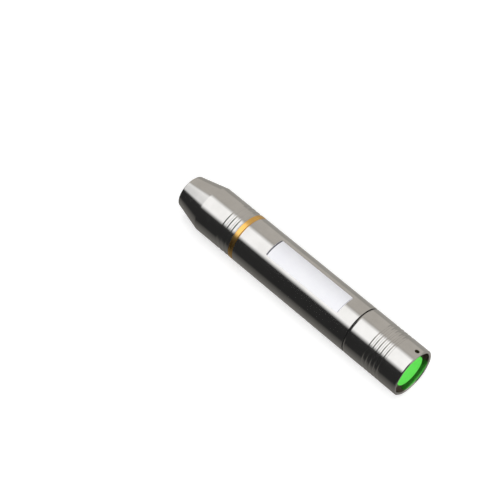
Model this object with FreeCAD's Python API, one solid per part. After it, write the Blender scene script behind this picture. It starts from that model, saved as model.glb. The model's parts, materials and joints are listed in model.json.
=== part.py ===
"""Egg candler: a slim steel torch with a conical nose and a push button in its tail.

The torch lies on its side on the plane Z = 0, with its tail and button towards +X and its
mouth towards -X. The origin is below the middle of its length.

Every piece is first modelled upright, with the tail rim at height 0 and the mouth at the
top, and laid down when it is written. Heights and radii are those of the upright torch.
Azimuths are in degrees from the top of the lying torch towards +Y, which is from -Y
towards +X while it is upright. Lengths are millimetres.
"""

import FreeCAD, Part
import math
import os

# Driving dimensions: the outside
BODY_R = 12.0
LENGTH = 139.0
CONE_START = 124.4
MOUTH_R = 8.4
RIM_CHAMFER = 0.4
JOINT_CHAMFER = 0.35
RING_CHAMFER = 0.15

# Where the three shells meet
CAP_END = 31.0
SEAL_THICKNESS = 0.8
SEAL_R = 11.65
RING_START = 100.05
RING_LENGTH = 2.65
RING_BEVEL = 0.3

# Grip grooves, with a steep side towards the tail and a sloping one towards the mouth
GROOVE_STEEP_SIDE = 0.1
GROOVE_SLOPING_SIDE = 0.4
CAP_GROOVES = 5
CAP_GROOVE_FIRST = 10.63
CAP_GROOVE_PITCH = 2.18
CAP_GROOVE_WIDTH = 1.25
CAP_GROOVE_DEPTH = 0.45
HEAD_GROOVES = 3
HEAD_GROOVE_FIRST = 104.2
HEAD_GROOVE_PITCH = 2.7
HEAD_GROOVE_WIDTH = 1.75
HEAD_GROOVE_DEPTH = 0.4

# Spigots of the barrel and the bores that they screw into
SPIGOT_R = 10.95
SCREW_BORE_R = 11.0
THREAD_ROOT_R = 10.4
SPIGOT_CHAMFER = 0.5
CAP_SPIGOT_START = 19.7
SPIGOT_END_GAP = 0.2
CAP_RELIEF_END = 27.6
HEAD_RELIEF_START = 105.9
HEAD_SPIGOT_END = 112.0
BATTERY_BORE_R = 9.4

# Sealing rings
O_RING_MEAN_R = 10.55
O_RING_WIRE_R = 0.4
O_GROOVE_FLOOR_R = 10.1
O_GROOVE_WIDTH = 1.1
CAP_O_RING_Z = 29.15
HEAD_O_RING_Z = 104.75

# Tail recess, its flange and the lanyard hole
RECESS_R = 10.65
RECESS_CHAMFER = 0.3
RECESS_DEPTH = 3.8
FLANGE_END = 5.0
FLANGE_HOLE_R = 8.15
LANYARD_Z = 2.2
LANYARD_R = 1.0
LANYARD_AZIMUTH = 18.4

# Label let in flush with the barrel
LABEL_START = 40.3
LABEL_LENGTH = 44.1
LABEL_AZIMUTH = -4.1
LABEL_HALF_ANGLE = 25.5
LABEL_THICKNESS = 0.1

# Rubber switch boot
BOOT_R = 7.95
BOOT_FACE_Z = 1.5
BOOT_FACE_THICKNESS = 1.4
BOOT_WALL = 1.5
BOOT_EDGE_R = 0.45
BOOT_SKIRT_R = 9.9
BOOT_SKIRT_THICKNESS = 1.2
PUSHER_R = 2.2
PUSHER_END = 6.1

# Tail switch
SWITCH_BORE_R = 10.0
SWITCH_SEAT_R = 9.9
BOARD_START = 15.5
BOARD_THICKNESS = 1.2
BOARD_GAP = 0.05
SPACER_INNER_R = 8.4
HOUSING_SIDE = 11.0
HOUSING_CORNER_R = 1.2
HOUSING_START = 8.3
HOUSING_NECK_START = 7.3
HOUSING_NECK_R = 3.6
HOUSING_ROOM_R = 3.4
HOUSING_ROOM = (9.3, 14.6)
PLUNGER_R = 2.25
PLUNGER_GAP = 0.1
PLUNGER_COLLAR_R = 3.0
PLUNGER_COLLAR = (9.6, 10.4)
PLUNGER_STEM_R = 1.3
PLUNGER_END = 12.9
TERMINAL_SPACING = 6.0
TERMINAL_SIZE = (0.5, 1.6)
TERMINAL_END = 17.5
SWITCH_RING_INNER_R = 7.6
SWITCH_RING_END = 19.65
SPANNER_NOTCH = (2.0, 1.2)

# Springs: mean radius at the start and end, wire radius, turns
TAIL_SPRING = {"start_r": 6.2, "end_r": 3.4, "wire_r": 0.4, "turns": 4.5}
SWITCH_SPRING = {"start_r": 2.1, "end_r": 2.1, "wire_r": 0.18, "turns": 5.0}
FRONT_SPRING = {"start_r": 3.4, "end_r": 1.8, "wire_r": 0.3, "turns": 4.5}

# Battery
BATTERY_START = 24.0
BATTERY_LENGTH = 65.0
BATTERY_R = 9.2
WRAP_THICKNESS = 0.1
WRAP_LIP = 1.6
CELL_TOP_DROP = 1.6
INSULATOR_HOLE_R = 4.4
INSULATOR_THICKNESS = 0.3
TERMINAL_CAP_R = 4.2
TERMINAL_CAP_HEIGHT = 0.5
TERMINAL_BUTTON_R = 2.8
TERMINAL_BUTTON_SLOPE = 0.4
CRIMP_BELOW_TOP = 3.6
CRIMP_WIDTH = 1.6
CRIMP_DEPTH = 0.45

# Brass pill with the driver behind and the lamp in front
PILL_START = 96.0
PILL_CAN_R = 9.1
PILL_WALL_R = 8.1
PILL_ROOM_END = 112.0
PILL_FLANGE_START = 112.6
PILL_FLANGE_R = 10.3
PILL_END = 118.0
DRIVER_BOARD_R = 8.7
DRIVER_BOARD = (96.2, 97.4)
INDUCTOR_SIZE = (5.0, 5.0, 3.0)
INDUCTOR_PLACE = (-1.5, 2.6)
INDUCTOR_CORNER_R = 0.9
CHIP_SIZE = (4.9, 3.9, 1.5)
CHIP_PLACE = (1.0, -3.0)
CAPACITOR_SIZE = (1.6, 3.2, 1.3)
CAPACITOR_PLACES = ((3.4, 2.4), (-4.2, -3.2))
WIRE_R = 0.45
WIRE_OFFSET = 6.6
WIRE_HOLE_R = 0.8
WIRE_END = 119.9
LED_BOARD_R = 8.2
LED_BOARD_THICKNESS = 1.6
LED_SIDE = 3.5
LED_THICKNESS = 0.8
LED_DOME_R = 1.5
CENTRING_R = 5.2
CENTRING_HOLE_R = 2.8
CENTRING_THICKNESS = 1.0

# Optics and the inside of the head
REFLECTOR_SEAT_R = 8.3
REFLECTOR_RIM_R = 8.2
REFLECTOR_MOUTH_R = 7.7
REFLECTOR_HOLE_R = 2.9
REFLECTOR_BASE_R = 4.6
REFLECTOR_BASE_LENGTH = 0.8
REFLECTOR_THROAT_LENGTH = 0.3
REFLECTOR_WAIST = (6.6, 126.0)
REFLECTOR_RIM_LENGTH = 1.4
LENS_START = 133.0
LENS_THICKNESS = 1.5
LENS_CHAMFER = 0.2
GASKET_THICKNESS = 0.6
GASKET_HOLE_R = 7.3
LIP_R = 7.2
LIP_FLARE = 0.35
MOUTH_EDGE_R = 0.3
HEAD_BORE_END = 112.4
PILL_SEAT_R = 10.35
HEAD_CONE_INNER_START = 122.8

# Sizes that follow
BARREL_START = CAP_END + SEAL_THICKNESS
HEAD_START = RING_START + RING_LENGTH
LED_BOARD_END = PILL_END + LED_BOARD_THICKNESS
BATTERY_END = BATTERY_START + BATTERY_LENGTH
CELL_END = BATTERY_END - CELL_TOP_DROP
LENS_END = LENS_START + LENS_THICKNESS
LIP_START = LENS_END + GASKET_THICKNESS
BOARD_END = BOARD_START + BOARD_THICKNESS

# How an upright piece is laid down: X = LENGTH / 2 - height, Y = X, Z = BODY_R - Y
LAID_DOWN = FreeCAD.Matrix(0, 0, -1, LENGTH / 2, 1, 0, 0, 0, 0, -1, 0, BODY_R, 0, 0, 0, 1)


def point(radius, height):
    """A point of a profile, in the plane that is turned about the torch's axis."""
    return FreeCAD.Vector(radius, 0, height)


def turned(edges_or_points):
    """The solid turned about Z from corner points (radius, height) or from ready edges."""
    if isinstance(edges_or_points[0], tuple):
        corners = [point(radius, height) for radius, height in edges_or_points]
        wire = Part.makePolygon(corners + corners[:1])
    else:
        wire = Part.Wire(edges_or_points)
    return Part.Face(wire).revolve(FreeCAD.Vector(), FreeCAD.Vector(0, 0, 1), 360)


def line(start, end):
    """A straight edge of a profile between two (radius, height) points."""
    return Part.LineSegment(point(*start), point(*end)).toShape()


def arc(start, middle, end):
    """A round edge of a profile through three (radius, height) points."""
    return Part.Arc(point(*start), point(*middle), point(*end)).toShape()


def disc(radius, start, end, x=0.0, y=0.0):
    """An upright cylinder from height start to height end."""
    return Part.makeCylinder(radius, end - start, FreeCAD.Vector(x, y, start))


def tube(outer_r, inner_r, start, end):
    """A plain ring from height start to height end."""
    return disc(outer_r, start, end).cut(disc(inner_r, start, end))


def block(size_x, size_y, start, end, x=0.0, y=0.0):
    """An upright box centred on x, y from height start to height end."""
    corner = FreeCAD.Vector(x - size_x / 2, y - size_y / 2, start)
    return Part.makeBox(size_x, size_y, end - start, corner)


def facing(azimuth):
    """The horizontal unit vector at an azimuth from -Y towards +X."""
    angle = math.radians(azimuth)
    return FreeCAD.Vector(math.sin(angle), -math.cos(angle), 0)


def groove(outer_r, middle, width, depth):
    """The ring that one grip groove takes away, between its steep and its sloping side."""
    start = middle - width / 2
    end = middle + width / 2
    floor_r = outer_r - depth
    clear_r = outer_r + 1
    return turned([
        (clear_r, start),
        (outer_r, start),
        (floor_r, start + GROOVE_STEEP_SIDE),
        (floor_r, end - GROOVE_SLOPING_SIDE),
        (outer_r, end),
        (clear_r, end),
    ])


def grooves(outer_r, first, pitch, count, width, depth):
    """All the grooves of one grip, as one cutter."""
    rings = [groove(outer_r, first + i * pitch, width, depth) for i in range(count)]
    return Part.makeCompound(rings)


def arc_leaving(start, direction, end):
    """The arc in space that leaves start in a direction and ends at end."""
    chord = end - start
    along = FreeCAD.Vector(chord).normalize()
    bulge = direction - along * direction.dot(along)
    half_turn = direction.getAngle(chord)
    sagitta = chord.Length / 2 * math.tan(half_turn / 2)
    middle = (start + end) * 0.5 + bulge.normalize() * sagitta
    return Part.Arc(start, middle, end).toShape()


def biarc(start, start_direction, end, end_direction):
    """Two arcs, tangent to each other, between two points with their directions."""
    chord = end - start
    both = start_direction + end_direction
    a = 2 * (start_direction.dot(end_direction) - 1)
    b = -2 * chord.dot(both)
    reach = (-b - math.sqrt(b * b - 4 * a * chord.dot(chord))) / (2 * a)
    joint = (start + end + (start_direction - end_direction) * reach) * 0.5
    first = arc_leaving(start, start_direction, joint)
    second = arc_leaving(end, end_direction * -1, joint)
    return [first, second]


def coil(start, end, start_r, end_r, wire_r, turns):
    """A compression spring of one unbroken wire, with its end turns closer together.

    The wire is swept along tangent arcs, two for each quarter turn. Their ends lie on a
    formula: the radius runs evenly from start_r to end_r, and the height climbs more slowly
    at both ends than in the middle.
    """
    end_closing = 0.3
    quarters = round(turns * 4)
    rise = end - start - 2 * wire_r

    def place(share):
        """The wire's centre at a share of its turns."""
        angle = 2 * math.pi * turns * share
        radius = start_r + (end_r - start_r) * share
        climb = share - end_closing * math.sin(2 * math.pi * share) / (2 * math.pi)
        height = start + wire_r + rise * climb
        return FreeCAD.Vector(radius * math.cos(angle), radius * math.sin(angle), height)

    def direction(share):
        """The wire's direction there."""
        nearby = 1e-5
        return (place(share + nearby) - place(share - nearby)).normalize()

    shares = [step / quarters for step in range(quarters + 1)]
    arcs = []
    for here, there in zip(shares, shares[1:]):
        arcs += biarc(place(here), direction(here), place(there), direction(there))
    section = Part.Wire(Part.makeCircle(wire_r, place(0), direction(0)))
    shell = Part.BRepOffsetAPI.MakePipeShell(Part.Wire(Part.sortEdges(arcs)[0]))
    shell.add(section)
    shell.build()
    shell.makeSolid()
    return shell.shape()


def o_ring(height):
    """A sealing ring of round section at a height, lying in its groove."""
    ring = Part.makeTorus(O_RING_MEAN_R, O_RING_WIRE_R)
    ring.translate(FreeCAD.Vector(0, 0, height))
    return ring


def o_ring_groove(height):
    """The groove of a sealing ring, as the ring of metal that it takes away."""
    half = O_GROOVE_WIDTH / 2
    return tube(SPIGOT_R + 1, O_GROOVE_FLOOR_R, height - half, height + half)


def tail_cap():
    """Steel cap with the recess for the button, five grip grooves and the lanyard hole."""
    shell = turned([
        (RECESS_R + RECESS_CHAMFER, 0),
        (BODY_R - RIM_CHAMFER, 0),
        (BODY_R, RIM_CHAMFER),
        (BODY_R, CAP_END - JOINT_CHAMFER),
        (BODY_R - JOINT_CHAMFER, CAP_END),
        (SCREW_BORE_R, CAP_END),
        (SCREW_BORE_R, CAP_SPIGOT_START - SPIGOT_END_GAP),
        (SWITCH_BORE_R, CAP_SPIGOT_START - SPIGOT_END_GAP),
        (SWITCH_BORE_R, FLANGE_END),
        (FLANGE_HOLE_R, FLANGE_END),
        (FLANGE_HOLE_R, RECESS_DEPTH),
        (RECESS_R, RECESS_DEPTH),
        (RECESS_R, RECESS_CHAMFER),
    ])
    grip = grooves(
        BODY_R, CAP_GROOVE_FIRST, CAP_GROOVE_PITCH, CAP_GROOVES, CAP_GROOVE_WIDTH, CAP_GROOVE_DEPTH
    )
    outward = facing(LANYARD_AZIMUTH)
    start = outward * (RECESS_R - 1) + FreeCAD.Vector(0, 0, LANYARD_Z)
    hole = Part.makeCylinder(LANYARD_R, BODY_R - RECESS_R + 2, start, outward)
    return shell.cut(grip).cut(hole)


def boot_crown():
    """The pressed face of the green rubber boot, with the pusher post behind it."""
    edge = BOOT_EDGE_R
    inside_r = BOOT_R - BOOT_WALL
    inside_z = BOOT_FACE_Z + BOOT_FACE_THICKNESS
    slant = edge * (1 - math.cos(math.radians(45)))
    face_edge = (BOOT_R - edge, BOOT_FACE_Z)
    round_middle = (BOOT_R - slant, BOOT_FACE_Z + slant)
    side_edge = (BOOT_R, BOOT_FACE_Z + edge)
    return turned([
        line((0, BOOT_FACE_Z), face_edge),
        arc(face_edge, round_middle, side_edge),
        line(side_edge, (BOOT_R, FLANGE_END)),
        line((BOOT_R, FLANGE_END), (inside_r, FLANGE_END)),
        line((inside_r, FLANGE_END), (inside_r, inside_z)),
        line((inside_r, inside_z), (PUSHER_R, inside_z)),
        line((PUSHER_R, inside_z), (PUSHER_R, PUSHER_END)),
        line((PUSHER_R, PUSHER_END), (0, PUSHER_END)),
        line((0, PUSHER_END), (0, BOOT_FACE_Z)),
    ])


def boot_skirt():
    """The clamped flange of the boot with the thin web that flexes as the crown moves."""
    web = 0.5
    web_r = BOOT_R - BOOT_WALL
    return turned([
        (web_r, FLANGE_END),
        (BOOT_SKIRT_R, FLANGE_END),
        (BOOT_SKIRT_R, FLANGE_END + BOOT_SKIRT_THICKNESS),
        (SPACER_INNER_R, FLANGE_END + BOOT_SKIRT_THICKNESS),
        (SPACER_INNER_R, FLANGE_END + web),
        (web_r, FLANGE_END + web),
    ])


def switch_spacer():
    """Plastic ring that clamps the boot's flange and carries the switch board."""
    start = FLANGE_END + BOOT_SKIRT_THICKNESS
    return tube(SWITCH_SEAT_R, SPACER_INNER_R, start, BOARD_START)


def switch_housing():
    """Body of the push switch: a square can with a round neck that guides the plunger."""
    body = block(HOUSING_SIDE, HOUSING_SIDE, HOUSING_START, BOARD_START)
    body = body.makeFillet(HOUSING_CORNER_R, upright_edges(body))
    neck = disc(HOUSING_NECK_R, HOUSING_NECK_START, HOUSING_START)
    room = disc(HOUSING_ROOM_R, *HOUSING_ROOM)
    guide = disc(PLUNGER_R + PLUNGER_GAP, HOUSING_NECK_START, HOUSING_ROOM[0])
    return body.fuse(neck).removeSplitter().cut(room).cut(guide)


def switch_plunger():
    """Plastic plunger: guide, stop collar and the stem inside the return spring."""
    return turned([
        (0, PUSHER_END),
        (PLUNGER_R, PUSHER_END),
        (PLUNGER_R, PLUNGER_COLLAR[0]),
        (PLUNGER_COLLAR_R, PLUNGER_COLLAR[0]),
        (PLUNGER_COLLAR_R, PLUNGER_COLLAR[1]),
        (PLUNGER_STEM_R, PLUNGER_COLLAR[1]),
        (PLUNGER_STEM_R, PLUNGER_END),
        (0, PLUNGER_END),
    ])


def terminal_blades(grow=0.0, start=BOARD_START, end=TERMINAL_END):
    """The two solder blades of the switch, grown a little where they cut their slots."""
    thickness, width = TERMINAL_SIZE
    blades = []
    for side in (-1, 1):
        x = side * TERMINAL_SPACING / 2
        blades.append(block(thickness + grow, width + grow, start, end, x=x))
    return Part.makeCompound(blades)


def switch_board():
    """Round circuit board behind the switch, with slots for the two blades."""
    return disc(SWITCH_SEAT_R - BOARD_GAP, BOARD_START, BOARD_END).cut(terminal_blades(grow=2 * BOARD_GAP))


def switch_ring():
    """Screwed ring that clamps the switch board, with two notches for a pin spanner."""
    ring = tube(SWITCH_SEAT_R, SWITCH_RING_INNER_R, BOARD_END, SWITCH_RING_END)
    width, depth = SPANNER_NOTCH
    notch = block(2 * BODY_R, width, SWITCH_RING_END - depth, SWITCH_RING_END)
    return ring.cut(notch)


def joint_seal():
    """Black ring squeezed between the cap and the barrel, seen as the dark line."""
    return tube(SEAL_R, SCREW_BORE_R, CAP_END, BARREL_START)


def label_body(inner_r, outer_r):
    """A curved plate over the label's place, between two radii."""
    start_direction = facing(LABEL_AZIMUTH - LABEL_HALF_ANGLE)
    corners = [
        start_direction * inner_r,
        start_direction * outer_r,
    ]
    low = FreeCAD.Vector(0, 0, LABEL_START)
    high = FreeCAD.Vector(0, 0, LABEL_START + LABEL_LENGTH)
    outline = [corners[0] + low, corners[1] + low, corners[1] + high, corners[0] + high]
    face = Part.Face(Part.makePolygon(outline + outline[:1]))
    return face.revolve(FreeCAD.Vector(), FreeCAD.Vector(0, 0, 1), 2 * LABEL_HALF_ANGLE)


def label():
    """Thin printed plate, flush with the barrel."""
    return label_body(BODY_R - LABEL_THICKNESS, BODY_R)


def barrel_tube():
    """Steel barrel: the battery bore, a spigot at each end and the label's shallow pocket."""
    chamfer = SPIGOT_CHAMFER
    shell = turned([
        (BATTERY_BORE_R, CAP_SPIGOT_START),
        (THREAD_ROOT_R - chamfer / 2, CAP_SPIGOT_START),
        (THREAD_ROOT_R, CAP_SPIGOT_START + chamfer),
        (THREAD_ROOT_R, CAP_RELIEF_END),
        (SPIGOT_R, CAP_RELIEF_END + chamfer),
        (SPIGOT_R, BARREL_START),
        (BODY_R - JOINT_CHAMFER, BARREL_START),
        (BODY_R, BARREL_START + JOINT_CHAMFER),
        (BODY_R, RING_START - RING_CHAMFER),
        (BODY_R - RING_CHAMFER, RING_START),
        (SPIGOT_R, RING_START),
        (SPIGOT_R, HEAD_RELIEF_START - chamfer),
        (THREAD_ROOT_R, HEAD_RELIEF_START),
        (THREAD_ROOT_R, HEAD_SPIGOT_END - chamfer),
        (THREAD_ROOT_R - chamfer / 2, HEAD_SPIGOT_END),
        (BATTERY_BORE_R, HEAD_SPIGOT_END),
    ])
    ring_grooves = [o_ring_groove(CAP_O_RING_Z), o_ring_groove(HEAD_O_RING_Z)]
    pocket = label_body(BODY_R - LABEL_THICKNESS, BODY_R + 1)
    return shell.cut(Part.makeCompound(ring_grooves)).cut(pocket)


def gold_ring():
    """Gold-coloured trim ring between the barrel and the head."""
    return turned([
        (SCREW_BORE_R, RING_START),
        (BODY_R - RING_BEVEL, RING_START),
        (BODY_R, RING_START + RING_BEVEL),
        (BODY_R, HEAD_START - RING_CHAMFER),
        (BODY_R - RING_CHAMFER, HEAD_START),
        (SCREW_BORE_R, HEAD_START),
    ])


def crimped(radius):
    """Points along a cell's side at a radius, with the crimp below its positive end."""
    middle = CELL_END - CRIMP_BELOW_TOP
    return [
        (radius, middle - CRIMP_WIDTH / 2),
        (radius - CRIMP_DEPTH, middle - CRIMP_WIDTH / 4),
        (radius - CRIMP_DEPTH, middle + CRIMP_WIDTH / 4),
        (radius, middle + CRIMP_WIDTH / 2),
    ]


def battery_cell():
    """Steel can of the lithium cell, crimped under its positive end."""
    can_r = BATTERY_R - WRAP_THICKNESS
    bottom = BATTERY_START + WRAP_THICKNESS
    return turned([(0, bottom), (can_r, bottom)] + crimped(can_r) + [(can_r, CELL_END), (0, CELL_END)])


def battery_wrap():
    """Shrunk plastic sleeve of the cell, folded over both ends."""
    can_r = BATTERY_R - WRAP_THICKNESS
    lip_r = BATTERY_R - WRAP_LIP
    bottom = BATTERY_START
    top = CELL_END + INSULATOR_THICKNESS + WRAP_THICKNESS
    outside = [(lip_r, bottom), (BATTERY_R, bottom)] + crimped(BATTERY_R) + [(BATTERY_R, top), (lip_r, top)]
    inside_top = [(lip_r, top - WRAP_THICKNESS), (can_r, top - WRAP_THICKNESS)]
    inside_bottom = [(can_r, bottom + WRAP_THICKNESS), (lip_r, bottom + WRAP_THICKNESS)]
    return turned(outside + inside_top + crimped(can_r)[::-1] + inside_bottom)


def battery_insulator():
    """Paper washer round the positive end."""
    return tube(BATTERY_R - WRAP_THICKNESS, INSULATOR_HOLE_R, CELL_END, CELL_END + INSULATOR_THICKNESS)


def battery_terminal():
    """Raised positive button of the cell, on its pressed cap."""
    step = CELL_END + TERMINAL_CAP_HEIGHT
    return turned([
        (0, CELL_END),
        (TERMINAL_CAP_R, CELL_END),
        (TERMINAL_CAP_R, step),
        (TERMINAL_BUTTON_R + TERMINAL_BUTTON_SLOPE, step),
        (TERMINAL_BUTTON_R, BATTERY_END),
        (0, BATTERY_END),
    ])


def driver_board():
    """Round circuit board of the lamp driver, at the pill's back."""
    return disc(DRIVER_BOARD_R, *DRIVER_BOARD)


def upright_edges(body):
    """The edges of a block that stand along the torch's axis."""
    return [e for e in body.Edges if abs(e.tangentAt(e.FirstParameter).z) > 0.9]


def component(size, place):
    """A block of size (x, y, height) on the driver board at place (x, y)."""
    size_x, size_y, height = size
    return block(size_x, size_y, DRIVER_BOARD[1], DRIVER_BOARD[1] + height, *place)


def driver_inductor():
    """Choke of the driver, with its rounded corners."""
    body = component(INDUCTOR_SIZE, INDUCTOR_PLACE)
    return body.makeFillet(INDUCTOR_CORNER_R, upright_edges(body))


def driver_chip():
    """Control chip of the driver."""
    return component(CHIP_SIZE, CHIP_PLACE)


def driver_capacitors():
    """Two chip capacitors of the driver."""
    return Part.makeCompound([component(CAPACITOR_SIZE, place) for place in CAPACITOR_PLACES])


def wire(side):
    """One insulated wire from the driver board to the lamp board."""
    return disc(WIRE_R, DRIVER_BOARD[1], WIRE_END, x=side * WIRE_OFFSET)


def wire_holes(start, end):
    """The passage of both wires through a piece."""
    holes = [disc(WIRE_HOLE_R, start, end, x=side * WIRE_OFFSET) for side in (-1, 1)]
    return Part.makeCompound(holes)


def pill():
    """Brass heat sink: a can over the driver and a solid front that carries the lamp."""
    body = turned([
        (DRIVER_BOARD_R + BOARD_GAP, PILL_START),
        (PILL_CAN_R, PILL_START),
        (PILL_CAN_R, PILL_FLANGE_START),
        (PILL_FLANGE_R, PILL_FLANGE_START),
        (PILL_FLANGE_R, PILL_END),
        (0, PILL_END),
        (0, PILL_ROOM_END),
        (PILL_WALL_R, PILL_ROOM_END),
        (PILL_WALL_R, DRIVER_BOARD[1]),
        (DRIVER_BOARD_R + BOARD_GAP, DRIVER_BOARD[1]),
    ])
    return body.cut(wire_holes(PILL_ROOM_END, PILL_END))


def led_board():
    """Metal-cored lamp board, notched for the two wires."""
    return disc(LED_BOARD_R, PILL_END, LED_BOARD_END).cut(wire_holes(PILL_END, LED_BOARD_END))


def led_emitter():
    """Square ceramic package of the lamp."""
    return block(LED_SIDE, LED_SIDE, LED_BOARD_END, LED_BOARD_END + LED_THICKNESS)


def led_dome():
    """Silicone dome over the emitter."""
    base = LED_BOARD_END + LED_THICKNESS
    ball = Part.makeSphere(LED_DOME_R, FreeCAD.Vector(0, 0, base))
    return ball.cut(disc(2 * LED_DOME_R, base - 2 * LED_DOME_R, base))


def centring_ring():
    """Plastic ring that centres the reflector on the lamp and keeps it off the solder."""
    return tube(CENTRING_R, CENTRING_HOLE_R, LED_BOARD_END, LED_BOARD_END + CENTRING_THICKNESS)


def reflector():
    """Deep parabolic cup from the lamp to the window, with its front rim and base."""
    base = LED_BOARD_END + CENTRING_THICKNESS
    throat = base + REFLECTOR_THROAT_LENGTH
    shoulder = base + REFLECTOR_BASE_LENGTH
    focal_term = (REFLECTOR_MOUTH_R**2 - REFLECTOR_HOLE_R**2) / (LENS_START - throat)
    bowl_points = []
    bowl_steps = 6
    for step in range(bowl_steps + 1):
        height = LENS_START + (throat - LENS_START) * step / bowl_steps
        radius = math.sqrt(REFLECTOR_HOLE_R**2 + focal_term * (height - throat))
        bowl_points.append(point(radius, height))
    bowl = Part.BSplineCurve()
    bowl.interpolate(bowl_points)
    rim_back = LENS_START - REFLECTOR_RIM_LENGTH
    return turned([
        line((REFLECTOR_HOLE_R, base), (REFLECTOR_BASE_R, base)),
        line((REFLECTOR_BASE_R, base), (REFLECTOR_BASE_R, shoulder)),
        arc((REFLECTOR_BASE_R, shoulder), REFLECTOR_WAIST, (REFLECTOR_RIM_R, rim_back)),
        line((REFLECTOR_RIM_R, rim_back), (REFLECTOR_RIM_R, LENS_START)),
        line((REFLECTOR_RIM_R, LENS_START), (REFLECTOR_MOUTH_R, LENS_START)),
        bowl.toShape(),
        line((REFLECTOR_HOLE_R, throat), (REFLECTOR_HOLE_R, base)),
    ])


def lens():
    """Flat glass window with its edges broken."""
    return turned([
        (0, LENS_START),
        (REFLECTOR_RIM_R - LENS_CHAMFER, LENS_START),
        (REFLECTOR_RIM_R, LENS_START + LENS_CHAMFER),
        (REFLECTOR_RIM_R, LENS_END - LENS_CHAMFER),
        (REFLECTOR_RIM_R - LENS_CHAMFER, LENS_END),
        (0, LENS_END),
    ])


def lens_gasket():
    """Black gasket between the window and the lip of the nose."""
    return tube(REFLECTOR_RIM_R, GASKET_HOLE_R, LENS_END, LIP_START)


def head_shell():
    """Steel head and cone in one piece, open at the back, with a lip at the mouth."""
    edge = MOUTH_EDGE_R
    half = edge * (1 - math.cos(math.radians(45)))
    flare_r = LIP_R + LIP_FLARE
    seat_end = (REFLECTOR_SEAT_R, LENS_START - REFLECTOR_RIM_LENGTH)
    seat_start = (PILL_SEAT_R, HEAD_CONE_INNER_START)
    shell = turned([
        line((SCREW_BORE_R, HEAD_START), (BODY_R - RING_CHAMFER, HEAD_START)),
        line((BODY_R - RING_CHAMFER, HEAD_START), (BODY_R, HEAD_START + RING_CHAMFER)),
        line((BODY_R, HEAD_START + RING_CHAMFER), (BODY_R, CONE_START)),
        line((BODY_R, CONE_START), (MOUTH_R, LENGTH - edge)),
        arc((MOUTH_R, LENGTH - edge), (MOUTH_R - half, LENGTH - half), (MOUTH_R - edge, LENGTH)),
        line((MOUTH_R - edge, LENGTH), (flare_r, LENGTH)),
        line((flare_r, LENGTH), (LIP_R, LENGTH - LIP_FLARE)),
        line((LIP_R, LENGTH - LIP_FLARE), (LIP_R, LIP_START)),
        line((LIP_R, LIP_START), (REFLECTOR_SEAT_R, LIP_START)),
        line((REFLECTOR_SEAT_R, LIP_START), seat_end),
        line(seat_end, seat_start),
        line(seat_start, (PILL_SEAT_R, HEAD_BORE_END)),
        line((PILL_SEAT_R, HEAD_BORE_END), (SCREW_BORE_R, HEAD_BORE_END)),
        line((SCREW_BORE_R, HEAD_BORE_END), (SCREW_BORE_R, HEAD_START)),
    ])
    grip = grooves(
        BODY_R, HEAD_GROOVE_FIRST, HEAD_GROOVE_PITCH, HEAD_GROOVES, HEAD_GROOVE_WIDTH, HEAD_GROOVE_DEPTH
    )
    return shell.cut(grip)


def front_spring():
    """Contact spring from the driver board back to the battery, wide end on the board."""
    spring = coil(BATTERY_END, DRIVER_BOARD[0], **FRONT_SPRING)
    middle = (BATTERY_END + DRIVER_BOARD[0]) / 2
    return spring.rotated(FreeCAD.Vector(0, 0, middle), FreeCAD.Vector(1, 0, 0), 180)


def all_parts():
    """Every upright piece of the torch by its node name, from the tail to the mouth."""
    return {
        "tail_cap": tail_cap(),
        "boot_crown": boot_crown(),
        "boot_skirt": boot_skirt(),
        "switch_spacer": switch_spacer(),
        "switch_housing": switch_housing(),
        "switch_plunger": switch_plunger(),
        "switch_spring": coil(PLUNGER_COLLAR[1], HOUSING_ROOM[1], **SWITCH_SPRING),
        "switch_terminals": terminal_blades(),
        "switch_board": switch_board(),
        "switch_ring": switch_ring(),
        "tail_spring": coil(BOARD_END, BATTERY_START, **TAIL_SPRING),
        "joint_seal": joint_seal(),
        "tail_o_ring": o_ring(CAP_O_RING_Z),
        "barrel_tube": barrel_tube(),
        "label": label(),
        "front_o_ring": o_ring(HEAD_O_RING_Z),
        "battery_cell": battery_cell(),
        "battery_wrap": battery_wrap(),
        "battery_insulator": battery_insulator(),
        "battery_terminal": battery_terminal(),
        "gold_ring": gold_ring(),
        "head_shell": head_shell(),
        "pill": pill(),
        "front_spring": front_spring(),
        "driver_board": driver_board(),
        "driver_inductor": driver_inductor(),
        "driver_chip": driver_chip(),
        "driver_capacitors": driver_capacitors(),
        "wire_positive": wire(1),
        "wire_negative": wire(-1),
        "led_board": led_board(),
        "led_emitter": led_emitter(),
        "led_dome": led_dome(),
        "centring_ring": centring_ring(),
        "reflector": reflector(),
        "lens": lens(),
        "lens_gasket": lens_gasket(),
    }


def main():
    """Lays every piece down and writes it to its STEP file."""
    os.makedirs("parts", exist_ok=True)
    for name, upright in all_parts().items():
        shape = upright.transformed(LAID_DOWN, True)
        if not shape.isValid():
            raise ValueError(name + " is not a valid shape")
        shape.exportStep("parts/" + name + ".step")
        print(name, round(shape.Volume, 2), "mm3,", len(shape.Solids), "solid")


main()
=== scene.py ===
"""The looks of a steel egg candler that lies on its side on a pale floor.

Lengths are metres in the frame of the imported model: +X runs along the torch to its tail, +Z is
up and the label is on top. A place along the torch is a height above its tail rim, as if it
stood on its tail, and a place round it is an azimuth from the top towards +Y, in radians.
"""

import json
import logging
import math
from collections.abc import Callable
from dataclasses import dataclass
from enum import Enum

import bmesh
import bpy
from mathutils import Matrix, Vector

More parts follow.
